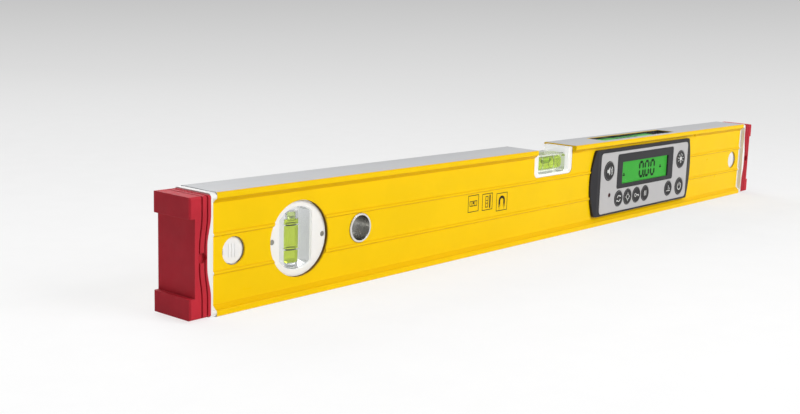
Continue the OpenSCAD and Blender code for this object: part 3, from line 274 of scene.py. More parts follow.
def build_inside_box():
    """1 inside a box given by its Low and High corners in metres, 0 outside."""
    tree, source, target = start_group("inside_box", {"Low": (0.0, 0.0, 0.0),
                                                      "High": (0.0, 0.0, 0.0)}, ["Mask"])
    place = object_place(tree)
    over = vector_math(tree, "SUBTRACT", place, source["Low"])
    under = vector_math(tree, "SUBTRACT", source["High"], place)
    least = vector_math(tree, "MINIMUM", over, under)
    split = add_node(tree, "ShaderNodeSeparateXYZ")
    plug(tree, least, split.inputs[0])
    inner = math_node(tree, "MINIMUM", split.outputs[0],
                      math_node(tree, "MINIMUM", split.outputs[1], split.outputs[2]))
    plug(tree, fade(tree, inner, -0.00002, 0.00002), target["Mask"])
    return tree


def build_paper_fade():
    """Backdrop level along a line of sight: white close by, grey far behind the level."""
    tree, source, target = start_group("paper_fade", {"Sight": (0.0, 1.0, 0.0)}, ["Level"])
    _, up, look = camera_axes()
    rise = vector_math(tree, "DOT_PRODUCT", source["Sight"], tuple(up))
    depth = vector_math(tree, "DOT_PRODUCT", source["Sight"], tuple(look))
    slope = math_node(tree, "DIVIDE", rise, math_node(tree, "MAXIMUM", depth, 0.001))
    fall = math_node(tree, "MULTIPLY", slope, -HEIGHTS_PER_SLOPE)
    down = math_node(tree, "ADD", fall, 0.5, clamp=True)
    ramp = add_node(tree, "ShaderNodeValToRGB")
    plug(tree, down, ramp.inputs[0])
    spots = ramp.color_ramp.elements
    while len(spots) < len(PAPER_LEVELS):
        spots.new(0.5)
    for spot, (where, level) in zip(spots, PAPER_LEVELS):
        spot.position = where
        spot.color = (level, level, level, 1)
    plug(tree, ramp.outputs[0], target["Level"])
    return tree


GRAIN = build_moulded_grain()
MARKS = build_handling_marks()
LINES = build_tool_lines()
CORNER = build_soft_corner()
BOX = build_inside_box()
PAPER = build_paper_fade()


def place_group(tree, group, **values):
    node = add_node(tree, "ShaderNodeGroup", node_tree=group)
    for name, value in values.items():
        plug(tree, value, node.inputs[name])
    return node.outputs


def box_mask(tree, corners):
    return place_group(tree, BOX, Low=corners[0], High=corners[1])["Mask"]


def start_finish(name, colour, roughness=0.5, metallic=0.0, **sockets):
    """A new material whose shader's own sockets hold what is the same all over."""
    finish = bpy.data.materials.new(name)
    finish.use_nodes = True
    tree = finish.node_tree
    shader = tree.nodes["Principled BSDF"]
    shader.inputs["Base Color"].default_value = (*colour, 1)
    shader.inputs["Roughness"].default_value = roughness
    shader.inputs["Metallic"].default_value = metallic
    for label, value in sockets.items():
        shader.inputs[label.replace("_", " ")].default_value = value
    return finish, tree, shader.inputs


def raise_relief(tree, shader, height, distance, below=None):
    bump = add_node(tree, "ShaderNodeBump")
    bump.inputs["Strength"].default_value = 1.0
    bump.inputs["Distance"].default_value = distance
    plug(tree, height, bump.inputs["Height"])
    if below is not None:
        plug(tree, below, bump.inputs["Normal"])
    plug(tree, bump.outputs[0], shader["Normal"])


def round_normal(tree, radius):
    bevel = add_node(tree, "ShaderNodeBevel", samples=4)
    bevel.inputs["Radius"].default_value = radius
    return bevel.outputs[0]


def shade(colour, factor):
    return tuple(min(1.0, value * factor) for value in colour) + (1.0,)


def moulded_finish(name, colour, rough=(0.4, 0.5), grain=0.0003, depth=0.00002, edge=0.0003,
                   rub=0.25, mottle=0.07, gloss=0.25):
    """Moulded plastic or rubber: pebbled grain, faint mottle and edges that catch light."""
    finish, tree, shader = start_finish(name, colour, Specular_IOR_Level=gloss)
    skin = place_group(tree, GRAIN, Size=grain)
    edge_mask = place_group(tree, CORNER, Reach=edge)["Mask"]
    body = blend_colour(tree, skin["Mottle"], shade(colour, 1 - mottle), shade(colour, 1 + mottle))
    paler = tuple(value + (1 - value) * 0.12 for value in colour) + (1.0,)
    plug(tree, blend_colour(tree, math_node(tree, "MULTIPLY", edge_mask, rub), body, paler),
         shader["Base Color"])
    plug(tree, place_group(tree, MARKS, Low=rough[0], High=rough[1])["Roughness"],
         shader["Roughness"])
    raise_relief(tree, shader, skin["Height"], depth, below=round_normal(tree, edge))
    return finish


def metal_finish(name, colour, rough, across=(1.0, 1.0, 1.0), scale=900.0):
    """Bare metal with the lines of the tool that cut it."""
    finish, tree, shader = start_finish(name, colour, metallic=1.0)
    cut = place_group(tree, LINES, Across=across, Scale=scale)
    plug(tree, blend_colour(tree, cut["Mottle"], shade(colour, 0.88), shade(colour, 1.06)),
         shader["Base Color"])
    plug(tree, place_group(tree, MARKS, Low=rough[0], High=rough[1], Scale=140.0)["Roughness"],
         shader["Roughness"])
    raise_relief(tree, shader, cut["Height"], 0.000006, below=round_normal(tree, 0.0002))
    return finish


def sleeve_metal():
    """Turned sleeve: a bright rim on each side and a darker, lined bore between them, darkened as
    painted shade.
    """
    finish, tree, shader = start_finish("turned_nickel", (0.72, 0.71, 0.69), metallic=1.0)
    cut = place_group(tree, LINES, Across=(1.0, 40.0, 1.0), Scale=120.0)
    # Painted shade: the bore's colour is darker than the rim's.
    painted_shade_bore = blend_colour(tree, cut["Mottle"], (0.34, 0.335, 0.315, 1), (0.43, 0.425, 0.40, 1))
    plug(tree, blend_colour(tree, box_mask(tree, SLEEVE_BORE), (0.74, 0.73, 0.71, 1), painted_shade_bore),
         shader["Base Color"])
    plug(tree, place_group(tree, MARKS, Low=0.2, High=0.34, Scale=140.0)["Roughness"],
         shader["Roughness"])
    raise_relief(tree, shader, cut["Height"], 0.000006, below=round_normal(tree, 0.0002))
    return finish


def clear_finish(name, colour, ior, roughness=0.02, **sockets):
    """Clear acrylic, glass or liquid with the faintest cloud and ripple."""
    finish, tree, shader = start_finish(name, colour, roughness, Transmission_Weight=1.0,
                                        IOR=ior, **sockets)
    cloud = place_group(tree, GRAIN, Size=0.002)
    plug(tree, blend_colour(tree, cloud["Mottle"], shade(colour, 0.98), shade(colour, 1.02)),
         shader["Base Color"])
    raise_relief(tree, shader, cloud["Height"], 0.000002)
    return finish


def painted_profile():
    """Yellow gloss coat, milled bare on the measuring faces, the ends and the inside; faces that
    lean from upright carry painted shade and sharp edges are drawn a little darker.
    """
    yellow, painted_shade_yellow = (0.93, 0.60, 0.001), (0.84, 0.49, 0.001)
    finish, tree, shader = start_finish("yellow_gloss_coat", yellow, Specular_IOR_Level=0.08)
    coat = place_group(tree, GRAIN, Size=0.0011, Softness=0.9)
    cut = place_group(tree, LINES, Across=(0.05, 1.0, 1.0), Scale=1500.0)
    split = add_node(tree, "ShaderNodeSeparateXYZ")
    plug(tree, object_place(tree), split.inputs[0])
    over_base = fade(tree, split.outputs[2], *BASE_EDGE)
    under_top = fade(tree, split.outputs[2], *TOP_EDGE)
    inside = math_node(tree, "MAXIMUM", box_mask(tree, PROFILE_HOLLOW),
                       box_mask(tree, WEB_CHANNEL))
    painted = math_node(tree, "MULTIPLY", over_base, under_top)
    painted = math_node(tree, "MULTIPLY", painted, math_node(tree, "SUBTRACT", 1.0, inside))
    painted = math_node(tree, "MULTIPLY", painted, box_mask(tree, BETWEEN_SAWN_ENDS))
    edge_mask = place_group(tree, CORNER, Reach=0.0004, Break=0.8)["Mask"]
    film = blend_colour(tree, coat["Mottle"], (*yellow, 1), shade(yellow, 0.965))
    # Painted shade: faces that lean away from upright, flat ones too, are drawn a deeper yellow,
    # and so, a little, are sharp edges.
    facing = add_node(tree, "ShaderNodeSeparateXYZ")
    plug(tree, add_node(tree, "ShaderNodeNewGeometry").outputs["Normal"], facing.inputs[0])
    slope = fade(tree, math_node(tree, "ABSOLUTE", facing.outputs[2]), 0.15, 0.5, 0.0, 0.8)
    painted_shade_amount = math_node(tree, "MAXIMUM", slope, math_node(tree, "MULTIPLY", edge_mask, 0.35))
    film = blend_colour(tree, painted_shade_amount, film, (*painted_shade_yellow, 1))
    bare = blend_colour(tree, cut["Mottle"], (0.49, 0.495, 0.505, 1), (0.55, 0.555, 0.57, 1))
    plug(tree, blend_colour(tree, painted, bare, film), shader["Base Color"])
    metal = math_node(tree, "SUBTRACT", 1.0, painted)
    plug(tree, math_node(tree, "MULTIPLY", metal, 0.25), shader["Metallic"])
    smooth = place_group(tree, MARKS, Low=0.27, High=0.36)["Roughness"]
    milled = place_group(tree, MARKS, Low=0.5, High=0.62, Scale=25.0)["Roughness"]
    plug(tree, blend_value(tree, painted, milled, smooth), shader["Roughness"])
    relief = blend_value(tree, painted, math_node(tree, "MULTIPLY", cut["Height"], 0.25),
                         math_node(tree, "MULTIPLY", coat["Height"], 0.35))
    raise_relief(tree, shader, relief, 0.00003, below=round_normal(tree, 0.0003))
    return finish


def lit_cell(name):
    """Green liquid crystal cell, lit evenly from behind."""
    green = (0.046, 0.38, 0.042)
    finish, tree, shader = start_finish(name, green, 0.35, Specular_IOR_Level=0.1)
    glow = place_group(tree, GRAIN, Size=0.0004)
    even = stretched_noise(tree, object_place(tree), 22.0, detail=1.0)
    lit = blend_colour(tree, fade(tree, even, 0.3, 0.7), shade(green, 0.93), shade(green, 1.07))
    plug(tree, blend_colour(tree, 0.65, lit, (0.0, 0.0, 0.0, 1)), shader["Base Color"])
    plug(tree, lit, shader["Emission Color"])
    shader["Emission Strength"].default_value = 0.68
    raise_relief(tree, shader, glow["Height"], 0.000003)
    return finish


def window_white():
    """White vial holder; its window walls get a painted glow, standing in for the light that the
    clear vial blocks keep from them.
    """
    white = (0.89, 0.885, 0.87)
    finish, tree, shader = start_finish("vial_holder_white", white, Specular_IOR_Level=0.25)
    skin = place_group(tree, GRAIN, Size=0.0003)
    plug(tree, blend_colour(tree, skin["Mottle"], shade(white, 0.98), shade(white, 1.02)),
         shader["Base Color"])
    plug(tree, place_group(tree, MARKS, Low=0.35, High=0.45)["Roughness"], shader["Roughness"])
    # Painted light: a faint white glow on the window walls, which no lamp gives.
    inside = math_node(tree, "MAXIMUM", box_mask(tree, PLUMB_WINDOW_GLOW),
                       box_mask(tree, CRADLE_WINDOW_GLOW))
    plug(tree, blend_colour(tree, inside, (0, 0, 0, 1), (0.84, 0.86, 0.87, 1)),
         shader["Emission Color"])
    shader["Emission Strength"].default_value = 0.55
    raise_relief(tree, shader, skin["Height"], 0.00002, below=round_normal(tree, 0.0003))
    return finish


def cell_sleeve():
    """Printed sleeve of a battery cell with its bare metal ends."""
    blue = (0.04, 0.12, 0.30)
    finish, tree, shader = start_finish("cell_sleeve", blue)
    box_low, box_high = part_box("battery_cells")
    middle = (box_low[0] + box_high[0]) / 2
    start, end = middle - CELL_SLEEVE_HALF, middle + CELL_SLEEVE_HALF
    body = box_mask(tree, ((start, -1.0, -1.0), (end, 1.0, 1.0)))
    stripe = box_mask(tree, ((middle + CELL_STRIPE[0], -1.0, -1.0),
                             (middle + CELL_STRIPE[1], 1.0, 1.0)))
    skin = place_group(tree, GRAIN, Size=0.0006)
    sleeve = blend_colour(tree, skin["Mottle"], shade(blue, 0.92), shade(blue, 1.08))
    sleeve = blend_colour(tree, stripe, sleeve, (0.55, 0.56, 0.58, 1))
    plug(tree, blend_colour(tree, body, (0.62, 0.62, 0.64, 1), sleeve), shader["Base Color"])
    plug(tree, math_node(tree, "SUBTRACT", 1.0, body), shader["Metallic"])
    plug(tree, place_group(tree, MARKS, Low=0.25, High=0.38)["Roughness"], shader["Roughness"])
    raise_relief(tree, shader, skin["Height"], 0.000008)
    return finish


def circuit_coat():
    """Green solder mask with paler copper tracks under it and dark chips on it."""
    green = (0.015, 0.13, 0.045)
    finish, tree, shader = start_finish("solder_mask", green)
    tracks = add_node(tree, "ShaderNodeTexBrick", offset=0.35, squash=0.7)
    turned = add_node(tree, "ShaderNodeMapping")
    turned.inputs["Rotation"].default_value = (math.pi / 2, 0, 0)
    plug(tree, object_place(tree), turned.inputs["Vector"])
    plug(tree, turned.outputs[0], tracks.inputs["Vector"])
    plug(tree, 320.0, tracks.inputs["Scale"])
    plug(tree, 0.03, tracks.inputs["Mortar Size"])
    copper = math_node(tree, "MULTIPLY", tracks.outputs["Fac"], 0.6)
    mask = blend_colour(tree, copper, (*green, 1), (0.06, 0.30, 0.10, 1))
    board_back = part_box("circuit_board")[1][1]
    chips = box_mask(tree, ((-1.0, board_back - CHIP_HEIGHT, -1.0), (1.0, 1.0, 1.0)))
    plug(tree, blend_colour(tree, chips, mask, (0.02, 0.02, 0.022, 1)), shader["Base Color"])
    plug(tree, place_group(tree, MARKS, Low=0.28, High=0.4)["Roughness"], shader["Roughness"])
    raise_relief(tree, shader, tracks.outputs["Fac"], 0.00002)
    return finish


def printed_ink(name, colour, roughness=0.5):
    """Thin printed ink whose cover varies a little."""
    finish, tree, shader = start_finish(name, colour, roughness, Specular_IOR_Level=0.1)
    cover = place_group(tree, GRAIN, Size=0.00025)
    plug(tree, blend_colour(tree, cover["Mottle"], shade(colour, 0.85), shade(colour, 1.15)),
         shader["Base Color"])
    raise_relief(tree, shader, cover["Height"], 0.000004)
    return finish


# Every finish, and the nodes that have it

FINISHES = {
    "yellow_coat": painted_profile(),
    "sleeve_nickel": sleeve_metal(),
    "screw_steel": metal_finish("screw_steel", (0.60, 0.60, 0.61), (0.25, 0.38)),
    "contact_nickel": metal_finish("contact_nickel", (0.75, 0.74, 0.72), (0.15, 0.25)),
    "magnet_nickel": metal_finish("magnet_nickel", (0.70, 0.70, 0.71), (0.12, 0.22)),
    "spring_steel": metal_finish("spring_steel", (0.55, 0.55, 0.56), (0.22, 0.34),
                                 (1.0, 1.0, 0.05), 1500.0),
    "pin_metal": metal_finish("pin_metal", (0.30, 0.30, 0.27), (0.4, 0.5)),
    "insert_white": window_white(),
    "collar_white": moulded_finish("collar_white", (0.84, 0.84, 0.83), (0.38, 0.5),
                                   rub=0.0, mottle=0.03, depth=0.00003),
    "button_white": moulded_finish("button_white", (0.86, 0.86, 0.86), (0.32, 0.42), rub=0.0,
                                   mottle=0.02, edge=0.0002),
    "acrylic": clear_finish("vial_acrylic", (0.80, 0.81, 0.815), 1.49),
    "cement": clear_finish("vial_cement", (0.99, 0.99, 0.99), 1.49),
    "level_acrylic": clear_finish("level_vial_acrylic", (0.84, 0.89, 0.76), 1.49),
    # Painted light: the vial liquid glows faintly, though it is no lamp.
    "liquid": clear_finish("vial_liquid", (0.66, 0.82, 0.06), 1.40,
                           Emission_Color=(0.45, 0.56, 0.02, 1), Emission_Strength=0.1),
    "bubble": clear_finish("bubble_gas", (0.80, 0.96, 0.36), 1.2, 0.01),
    "ring_black": moulded_finish("ring_black", (0.012, 0.012, 0.012), (0.4, 0.5), rub=0.0),
    "frame_black": moulded_finish("frame_black", (0.032, 0.031, 0.035), (0.42, 0.55),
                                  grain=0.0004, depth=0.00003, edge=0.0004, rub=0.3,
                                  gloss=0.14),
    "panel_grey": moulded_finish("panel_grey", (0.50, 0.49, 0.495), (0.34, 0.44), grain=0.00018,
                                 depth=0.000008, edge=0.0003, rub=0.5, mottle=0.02),
    "bezel_dark": moulded_finish("bezel_dark", (0.034, 0.033, 0.037), (0.3, 0.4),
                                 depth=0.000004, rub=0.15, mottle=0.04, gloss=0.1),
    "lens": clear_finish("coated_window", (0.97, 0.98, 0.97), 1.006, 0.01),
    "cell": lit_cell("front_cell_green"),
    "lamp_red": moulded_finish("lamp_dark_red", (0.05, 0.004, 0.005), (0.15, 0.25),
                               depth=0.000004, edge=0.0002, rub=0.1),
    "key_rubber": moulded_finish("key_rubber", (0.022, 0.02, 0.022), (0.5, 0.62), grain=0.0003,
                                 depth=0.00001, edge=0.0003, rub=0.3),
    "mat_rubber": moulded_finish("mat_rubber", (0.25, 0.25, 0.25), (0.5, 0.65)),
    "solder_mask": circuit_coat(),
    "sensor_can": metal_finish("sensor_can", (0.62, 0.61, 0.58), (0.3, 0.4)),
    "beeper_black": moulded_finish("beeper_black", (0.03, 0.03, 0.03), (0.35, 0.5)),
    "chassis_black": moulded_finish("chassis_black", (0.05, 0.05, 0.055), (0.45, 0.6),
                                    grain=0.0005, depth=0.00003),
    "cover_black": moulded_finish("cover_black", (0.038, 0.038, 0.042), (0.45, 0.58),
                                  grain=0.0004, depth=0.00004, edge=0.0004, rub=0.35),
    "seal_rubber": moulded_finish("seal_rubber", (0.03, 0.03, 0.03), (0.6, 0.75)),
    "cell_sleeve": cell_sleeve(),
    "ribbon": moulded_finish("ribbon_film", (0.50, 0.21, 0.02), (0.25, 0.4), depth=0.000005),
    "magnet_red": moulded_finish("magnet_holder_red", (0.68, 0.022, 0.03), (0.35, 0.48)),
    "cap_red": moulded_finish("cap_rubber_red", (0.50, 0.020, 0.036), (0.5, 0.64), grain=0.00045,
                              depth=0.00004, edge=0.0004, rub=0.3, mottle=0.08, gloss=0.15),
    "sealant": moulded_finish("ochre_sealant", (0.16, 0.085, 0.008), (0.5, 0.65), rub=0.0),
    "ink_black": printed_ink("ink_black", (0.012, 0.011, 0.01)),
    "ink_white": printed_ink("ink_white", (0.70, 0.70, 0.69)),
    # The grey one draws the painted highlight rings on the keys.
    "painted_highlight_grey": printed_ink("painted_highlight_grey", (0.22, 0.22, 0.22)),
    "segment_dark": printed_ink("segment_dark", (0.004, 0.012, 0.005), 0.4),
}

NODE_FINISHES = {
    "yellow_coat": ["profile"],
    "sleeve_nickel": ["hang_hole_sleeve"],
    "insert_white": ["plumb_insert", "level_cradle"],
    "pin_metal": ["plumb_insert_pins"],
    "acrylic": ["plumb_vial_block", "plumb_vial_plug"],
    "level_acrylic": ["level_vial_block", "level_vial_plug"],
    "ring_black": ["plumb_vial_rings", "level_vial_rings"],
    "liquid": ["plumb_vial_liquid", "level_vial_liquid"],
    "bubble": ["plumb_bubble", "level_bubble"],
    "frame_black": ["display_frame", "rear_frame", "upper_tray"],
    "panel_grey": ["key_panel"],
    "bezel_dark": ["display_bezel"],
    "lens": ["display_lens", "upper_lens"],
    "cell": ["display_cell", "upper_cell"],
    "lamp_red": ["status_lamp"],
    "key_rubber": ["speaker_key", "light_key", "power_key", "reference_key", "mode_key",
                   "calibrate_key", "lock_key", "hold_key"],
    "mat_rubber": ["key_mat"],
    "solder_mask": ["circuit_board"],
    "sensor_can": ["tilt_sensor"],
    "beeper_black": ["beeper"],
    "chassis_black": ["module_chassis"],
    "cover_black": ["battery_cover"],
    "seal_rubber": ["cover_seal"],
    "screw_steel": ["frame_screws", "cover_screw"],
    "cell_sleeve": ["battery_cells"],
    "contact_nickel": ["battery_contacts"],
    "ribbon": ["upper_ribbon"],
    "magnet_red": ["left_magnet_carrier", "right_magnet_carrier"],
    "magnet_nickel": ["left_magnets", "right_magnets"],
    "cap_red": ["left_cap_shell", "right_cap_shell"],
    "collar_white": ["left_cap_core", "right_cap_core"],
    "spring_steel": ["left_cap_spring", "right_cap_spring"],
    "button_white": ["left_front_button", "left_rear_button", "right_front_button",
                     "right_rear_button"],
}


def dress_nodes():
    for label, names in NODE_FINISHES.items():
        for name in names:
            for slot in NODES[name].material_slots:
                slot.material = FINISHES[label]


# Flat marks: each shape is a list of (u, v) outlines in millimetres

def bar(u, v, wide, high, turn=0.0):
    c, s = math.cos(turn), math.sin(turn)
    corners = [(-wide / 2, -high / 2), (wide / 2, -high / 2), (wide / 2, high / 2),
               (-wide / 2, high / 2)]
    return [[(u + c * a - s * b, v + s * a + c * b) for a, b in corners]]


def disc(u, v, r, steps=24):
    turns = [2 * math.pi * i / steps for i in range(steps)]
    return [[(u + r * math.cos(a), v + r * math.sin(a)) for a in turns]]


def arc(u, v, r, wide, start, end, steps=20):
    angles = [math.radians(start + (end - start) * i / steps) for i in range(steps + 1)]
    outer = [(u + (r + wide / 2) * math.cos(a), v + (r + wide / 2) * math.sin(a)) for a in angles]
    inner = [(u + (r - wide / 2) * math.cos(a), v + (r - wide / 2) * math.sin(a)) for a in angles]
    return [outer + inner[::-1]]


def ring(u, v, r, wide, steps=24):
    return arc(u, v, r, wide, 0, 180, steps) + arc(u, v, r, wide, 180, 360, steps)


def frame_lines(u, v, wide, high, line):
    return (bar(u, v + (high - line) / 2, wide, line) + bar(u, v - (high - line) / 2, wide, line)
            + bar(u - (wide - line) / 2, v, line, high - 2 * line)
            + bar(u + (wide - line) / 2, v, line, high - 2 * line))


def shifted(shape, du, dv):
    return [[(u + du, v + dv) for u, v in outline] for outline in shape]


def segment_zero(u, v, wide, high, line):
    """A nought of six display segments, their corners cut on the slant."""
    half, gap = high / 2, 0.12 * line

    def flat(level):
        reach = wide / 2 - gap
        cut = line / 2
        inner = reach - cut
        return [[(u - reach, level), (u - inner, level + cut), (u + inner, level + cut),
                 (u + reach, level), (u + inner, level - cut), (u - inner, level - cut)]]

    def upright(side, low):
        middle, cut = u + side * wide / 2, line / 2
        bottom, top = low + gap, low + half - gap
        return [[(middle, bottom), (middle + cut, bottom + cut), (middle + cut, top - cut),
                 (middle, top), (middle - cut, top - cut), (middle - cut, bottom + cut)]]

    return (flat(v + half) + upright(1, v) + upright(1, v - half) + flat(v - half)
            + upright(-1, v - half) + upright(-1, v))


def reading(u, v, wide, high, line, pitch):
    """Three noughts with a point after the first."""
    shape = []
    for index in (-1, 0, 1):
        shape += segment_zero(u + index * pitch, v, wide, high, line)
    return shape + bar(u - pitch / 2, v - high / 2, line, line)


def finish_piece(name, surface, body, finish, smooth=False):
    bmesh.ops.recalc_face_normals(surface, faces=surface.faces)
    mesh = bpy.data.meshes.new(name)
    surface.to_mesh(mesh)
    surface.free()
    for face in mesh.polygons:
        face.use_smooth = smooth
    mesh.materials.append(FINISHES[finish])
    piece = bpy.data.objects.new(name, mesh)
    bpy.context.scene.collection.objects.link(piece)
    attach(piece, body)
    return piece


def add_mark(name, shape, body, finish, plane, height):
    """Lays a shape on the front (height along y) or on top (along z) as a closed film: print, or
    the keys' painted highlight rings.
    """
    surface = bmesh.new()
    for outline in shape:
        if plane == "front":
            near = [surface.verts.new((u * MM, (height - INK) * MM, v * MM)) for u, v in outline]
            far = [surface.verts.new((u * MM, height * MM, v * MM)) for u, v in outline]
        else:
            near = [surface.verts.new((u * MM, v * MM, (height + INK) * MM)) for u, v in outline]
            far = [surface.verts.new((u * MM, v * MM, height * MM)) for u, v in outline]
        surface.faces.new(near)
        surface.faces.new(far[::-1])
        for i in range(len(near)):
            j = (i + 1) % len(near)
            surface.faces.new((near[i], far[i], far[j], near[j]))
    return finish_piece(name, surface, body, finish)


# Pictograms of the keys, each drawn round its key's centre

def speaker_shape():
    horn = [[(-3.1, -1.1), (-1.5, -1.1), (0.6, -3.2), (0.6, 3.2), (-1.5, 1.1), (-3.1, 1.1)]]
    return horn + arc(0.2, 0, 2.3, 0.55, -50, 50) + arc(0.2, 0, 3.9, 0.55, -50, 50)


def light_shape():
    bulb = disc(0, 0.5, 1.7) + bar(0, -1.9, 1.7, 0.5) + bar(0, -2.7, 1.3, 0.5)
    rays = []
    for angle in (-25, 10, 50, 90, 130, 170, 205):
        turn = math.radians(angle)
        rays += bar(3.6 * math.cos(turn), 0.5 + 3.6 * math.sin(turn), 1.9, 0.55, turn)
    return bulb + rays


def power_shape():
    return arc(0, 0, 2.7, 0.7, 120, 420, 30) + bar(0, 1.9, 0.7, 3.0)


def reference_shape():
    return bar(0, -1.9, 5.6, 0.6) + bar(0, 0.4, 0.6, 4.0) + arc(0, -1.9, 2.6, 0.5, 25, 65)


def mode_shape():
    return (arc(0, 0, 2.2, 0.6, 30, 165) + arc(0, 0, 2.2, 0.6, 210, 345)
            + [[(2.9, 0.9), (1.5, 1.5), (2.9, 2.5)]]
            + [[(-2.9, -0.9), (-1.5, -1.5), (-2.9, -2.5)]])


def calibrate_shape():
    return ring(0, 0, 1.9, 0.55) + bar(0, 2.5, 0.55, 1.6) + bar(0, -2.5, 0.55, 1.6) + bar(
        2.5, 0, 1.6, 0.55) + bar(-2.5, 0, 1.6, 0.55)


def lock_shape():
    return (ring(-1.6, 0, 1.2, 0.6) + bar(1.5, 0, 3.6, 0.6) + bar(2.2, -0.75, 0.6, 0.9)
            + bar(3.0, -0.75, 0.6, 0.9))


def hold_shape():
    return bar(-1.0, 0, 0.9, 3.8) + bar(1.0, 0, 0.9, 3.8)


# Each key's pictogram, and how far its pale rim, a painted highlight, lies inside the key's edge
KEY_MARKS = {
    "speaker": (speaker_shape, 0.62), "light": (light_shape, 0.62), "power": (power_shape, 0.62),
    "reference": (reference_shape, 0.5), "mode": (mode_shape, 0.5),
    "calibrate": (calibrate_shape, 0.5), "lock": (lock_shape, 0.5), "hold": (hold_shape, 0.5),
}


def mark_keys():
    for name, (draw, rim) in KEY_MARKS.items():
        low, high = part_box(name + "_key")
        centre_u, centre_v = (low[0] + high[0]) / 2 / MM, (low[2] + high[2]) / 2 / MM
        reach = (high[0] - low[0]) / 2 / MM - KEY_FLANGE
        add_mark(name + "_mark", shifted(draw(), centre_u, centre_v), name + "_button",
                 "ink_white", "front", low[1] / MM)
        # Painted highlight: a pale grey ring drawn on each key's face, inside its edge.
        add_mark(name + "_rim", shifted(ring(0, 0, reach - rim, 0.28, 32), centre_u, centre_v),
                 name + "_button", "painted_highlight_grey", "front", low[1] / MM)


def mark_displays():
    low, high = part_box("display_cell")
    middle, face = (low[2] + high[2]) / 2 / MM, low[1] / MM
    left_u, reading_u, right_u = 90.8, 124.8, 145.4
    shape = reading(reading_u, middle + 0.2, wide=5.2, high=10.8, line=2.1, pitch=8.5)
    shape += bar(left_u, middle - 2.2, 3.0, 1.1) + bar(left_u, middle - 1.0, 1.6, 1.1)
    shape += bar(right_u, middle - 0.4, 3.0, 1.1) + bar(right_u, middle + 0.8, 1.6, 1.1)
    add_mark("front_reading", shape, "level_body", "segment_dark", "front", face - 0.01)
    low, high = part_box("upper_cell")
    start, top = low[0] / MM, high[2] / MM
    left_u, reading_u, right_u = start + 9, start + 42, start + 62
    shape = reading(reading_u, 3.0, wide=6.4, high=7.4, line=2.1, pitch=10.4)
    shape += bar(reading_u, -4.6, 15.0, 1.0) + bar(right_u, 3.4, 3.4, 1.3)
    shape += bar(left_u, -2.5, 3.4, 1.3)
    add_mark("upper_reading", shape, "level_body", "segment_dark", "top", top + 0.01)


def vial_sign(u, v):
    """A square sign: a vial with its bubble between two lines."""
    return (frame_lines(u, v, 10.6, 10.6, 0.45) + frame_lines(u, v, 7.4, 3.4, 0.5)
            + bar(u - 1.5, v, 0.45, 2.4) + bar(u + 1.5, v, 0.45, 2.4) + disc(u, v + 0.3, 0.75))


def upright_sign(u, v):
    """A square sign: a level against a wall."""
    return (frame_lines(u, v, 10.6, 10.6, 0.45) + bar(u + 2.6, v, 1.3, 8.4)
            + frame_lines(u - 0.6, v, 2.8, 7.2, 0.5) + bar(u - 0.6, v + 0.9, 1.8, 0.45)
            + bar(u - 0.6, v - 0.9, 1.8, 0.45))


def magnet_sign(u, v):
    """A square sign: a horseshoe magnet."""
    return (frame_lines(u, v, 11.6, 11.6, 0.45) + arc(u, v + 0.6, 2.5, 1.7, 0, 180)
            + bar(u - 2.5, v - 0.6, 1.7, 2.4) + bar(u + 2.5, v - 0.6, 1.7, 2.4)
            + frame_lines(u - 2.5, v - 2.7, 1.7, 1.4, 0.35)
            + frame_lines(u + 2.5, v - 2.7, 1.7, 1.4, 0.35)
            + bar(u - 2.5, v - 4.4, 0.4, 0.9) + bar(u + 2.5, v - 4.4, 0.4, 0.9))


def mark_web():
    shape = vial_sign(-87.6, 32.6) + upright_sign(-73.4, 32.2) + magnet_sign(-58.2, 30.6)
    add_mark("web_signs", shape, "level_body", "ink_black", "front", -WEB_Y)


# Liquid, and the clear cement that beds each vial block in its holder

def barrel_ring(place, length):
    """Place along a barrel-shaped bore, and the radius of its liquid there."""
    share = 2 * place / length
    return place, VIAL_R - VIAL_SAG * share * share + LIQUID_OVERLAP


def add_liquid(name, node, centre, along, length, top):
    """Fills a vial's bore from its foot to a height along its axis."""
    steps = 16
    places = [length / 2 * (2 * i / steps - 1) for i in range(steps + 1)]
    profile = [barrel_ring(place, length) for place in places if place <= top + 1e-6]
    profile[0] = (profile[0][0] - LIQUID_OVERLAP, profile[0][1])
    if top < length / 2:
        profile.append(barrel_ring(top, length))
    else:
        profile[-1] = (profile[-1][0] + LIQUID_OVERLAP, profile[-1][1])
    surface = bmesh.new()
    around = 64
    rows = []
    for place, radius in profile:
        row = []
        for i in range(around):
            a = 2 * math.pi * i / around
            side, out = radius * math.cos(a), radius * math.sin(a)
            spot = (side, out, place) if along == "z" else (place, side, out)
            row.append(surface.verts.new((Vector(centre) + Vector(spot)) * MM))
        rows.append(row)
    for lower, upper in zip(rows, rows[1:]):
        for i in range(around):
            j = (i + 1) % around
            surface.faces.new((lower[i], lower[j], upper[j], upper[i]))
    surface.faces.new(rows[0])
    surface.faces.new(rows[-1][::-1])
    piece = finish_piece(name, surface, "level_body", "liquid", smooth=True)
    for face in piece.data.polygons:
        if len(face.vertices) > 4:
            face.use_smooth = False
    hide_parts(node)


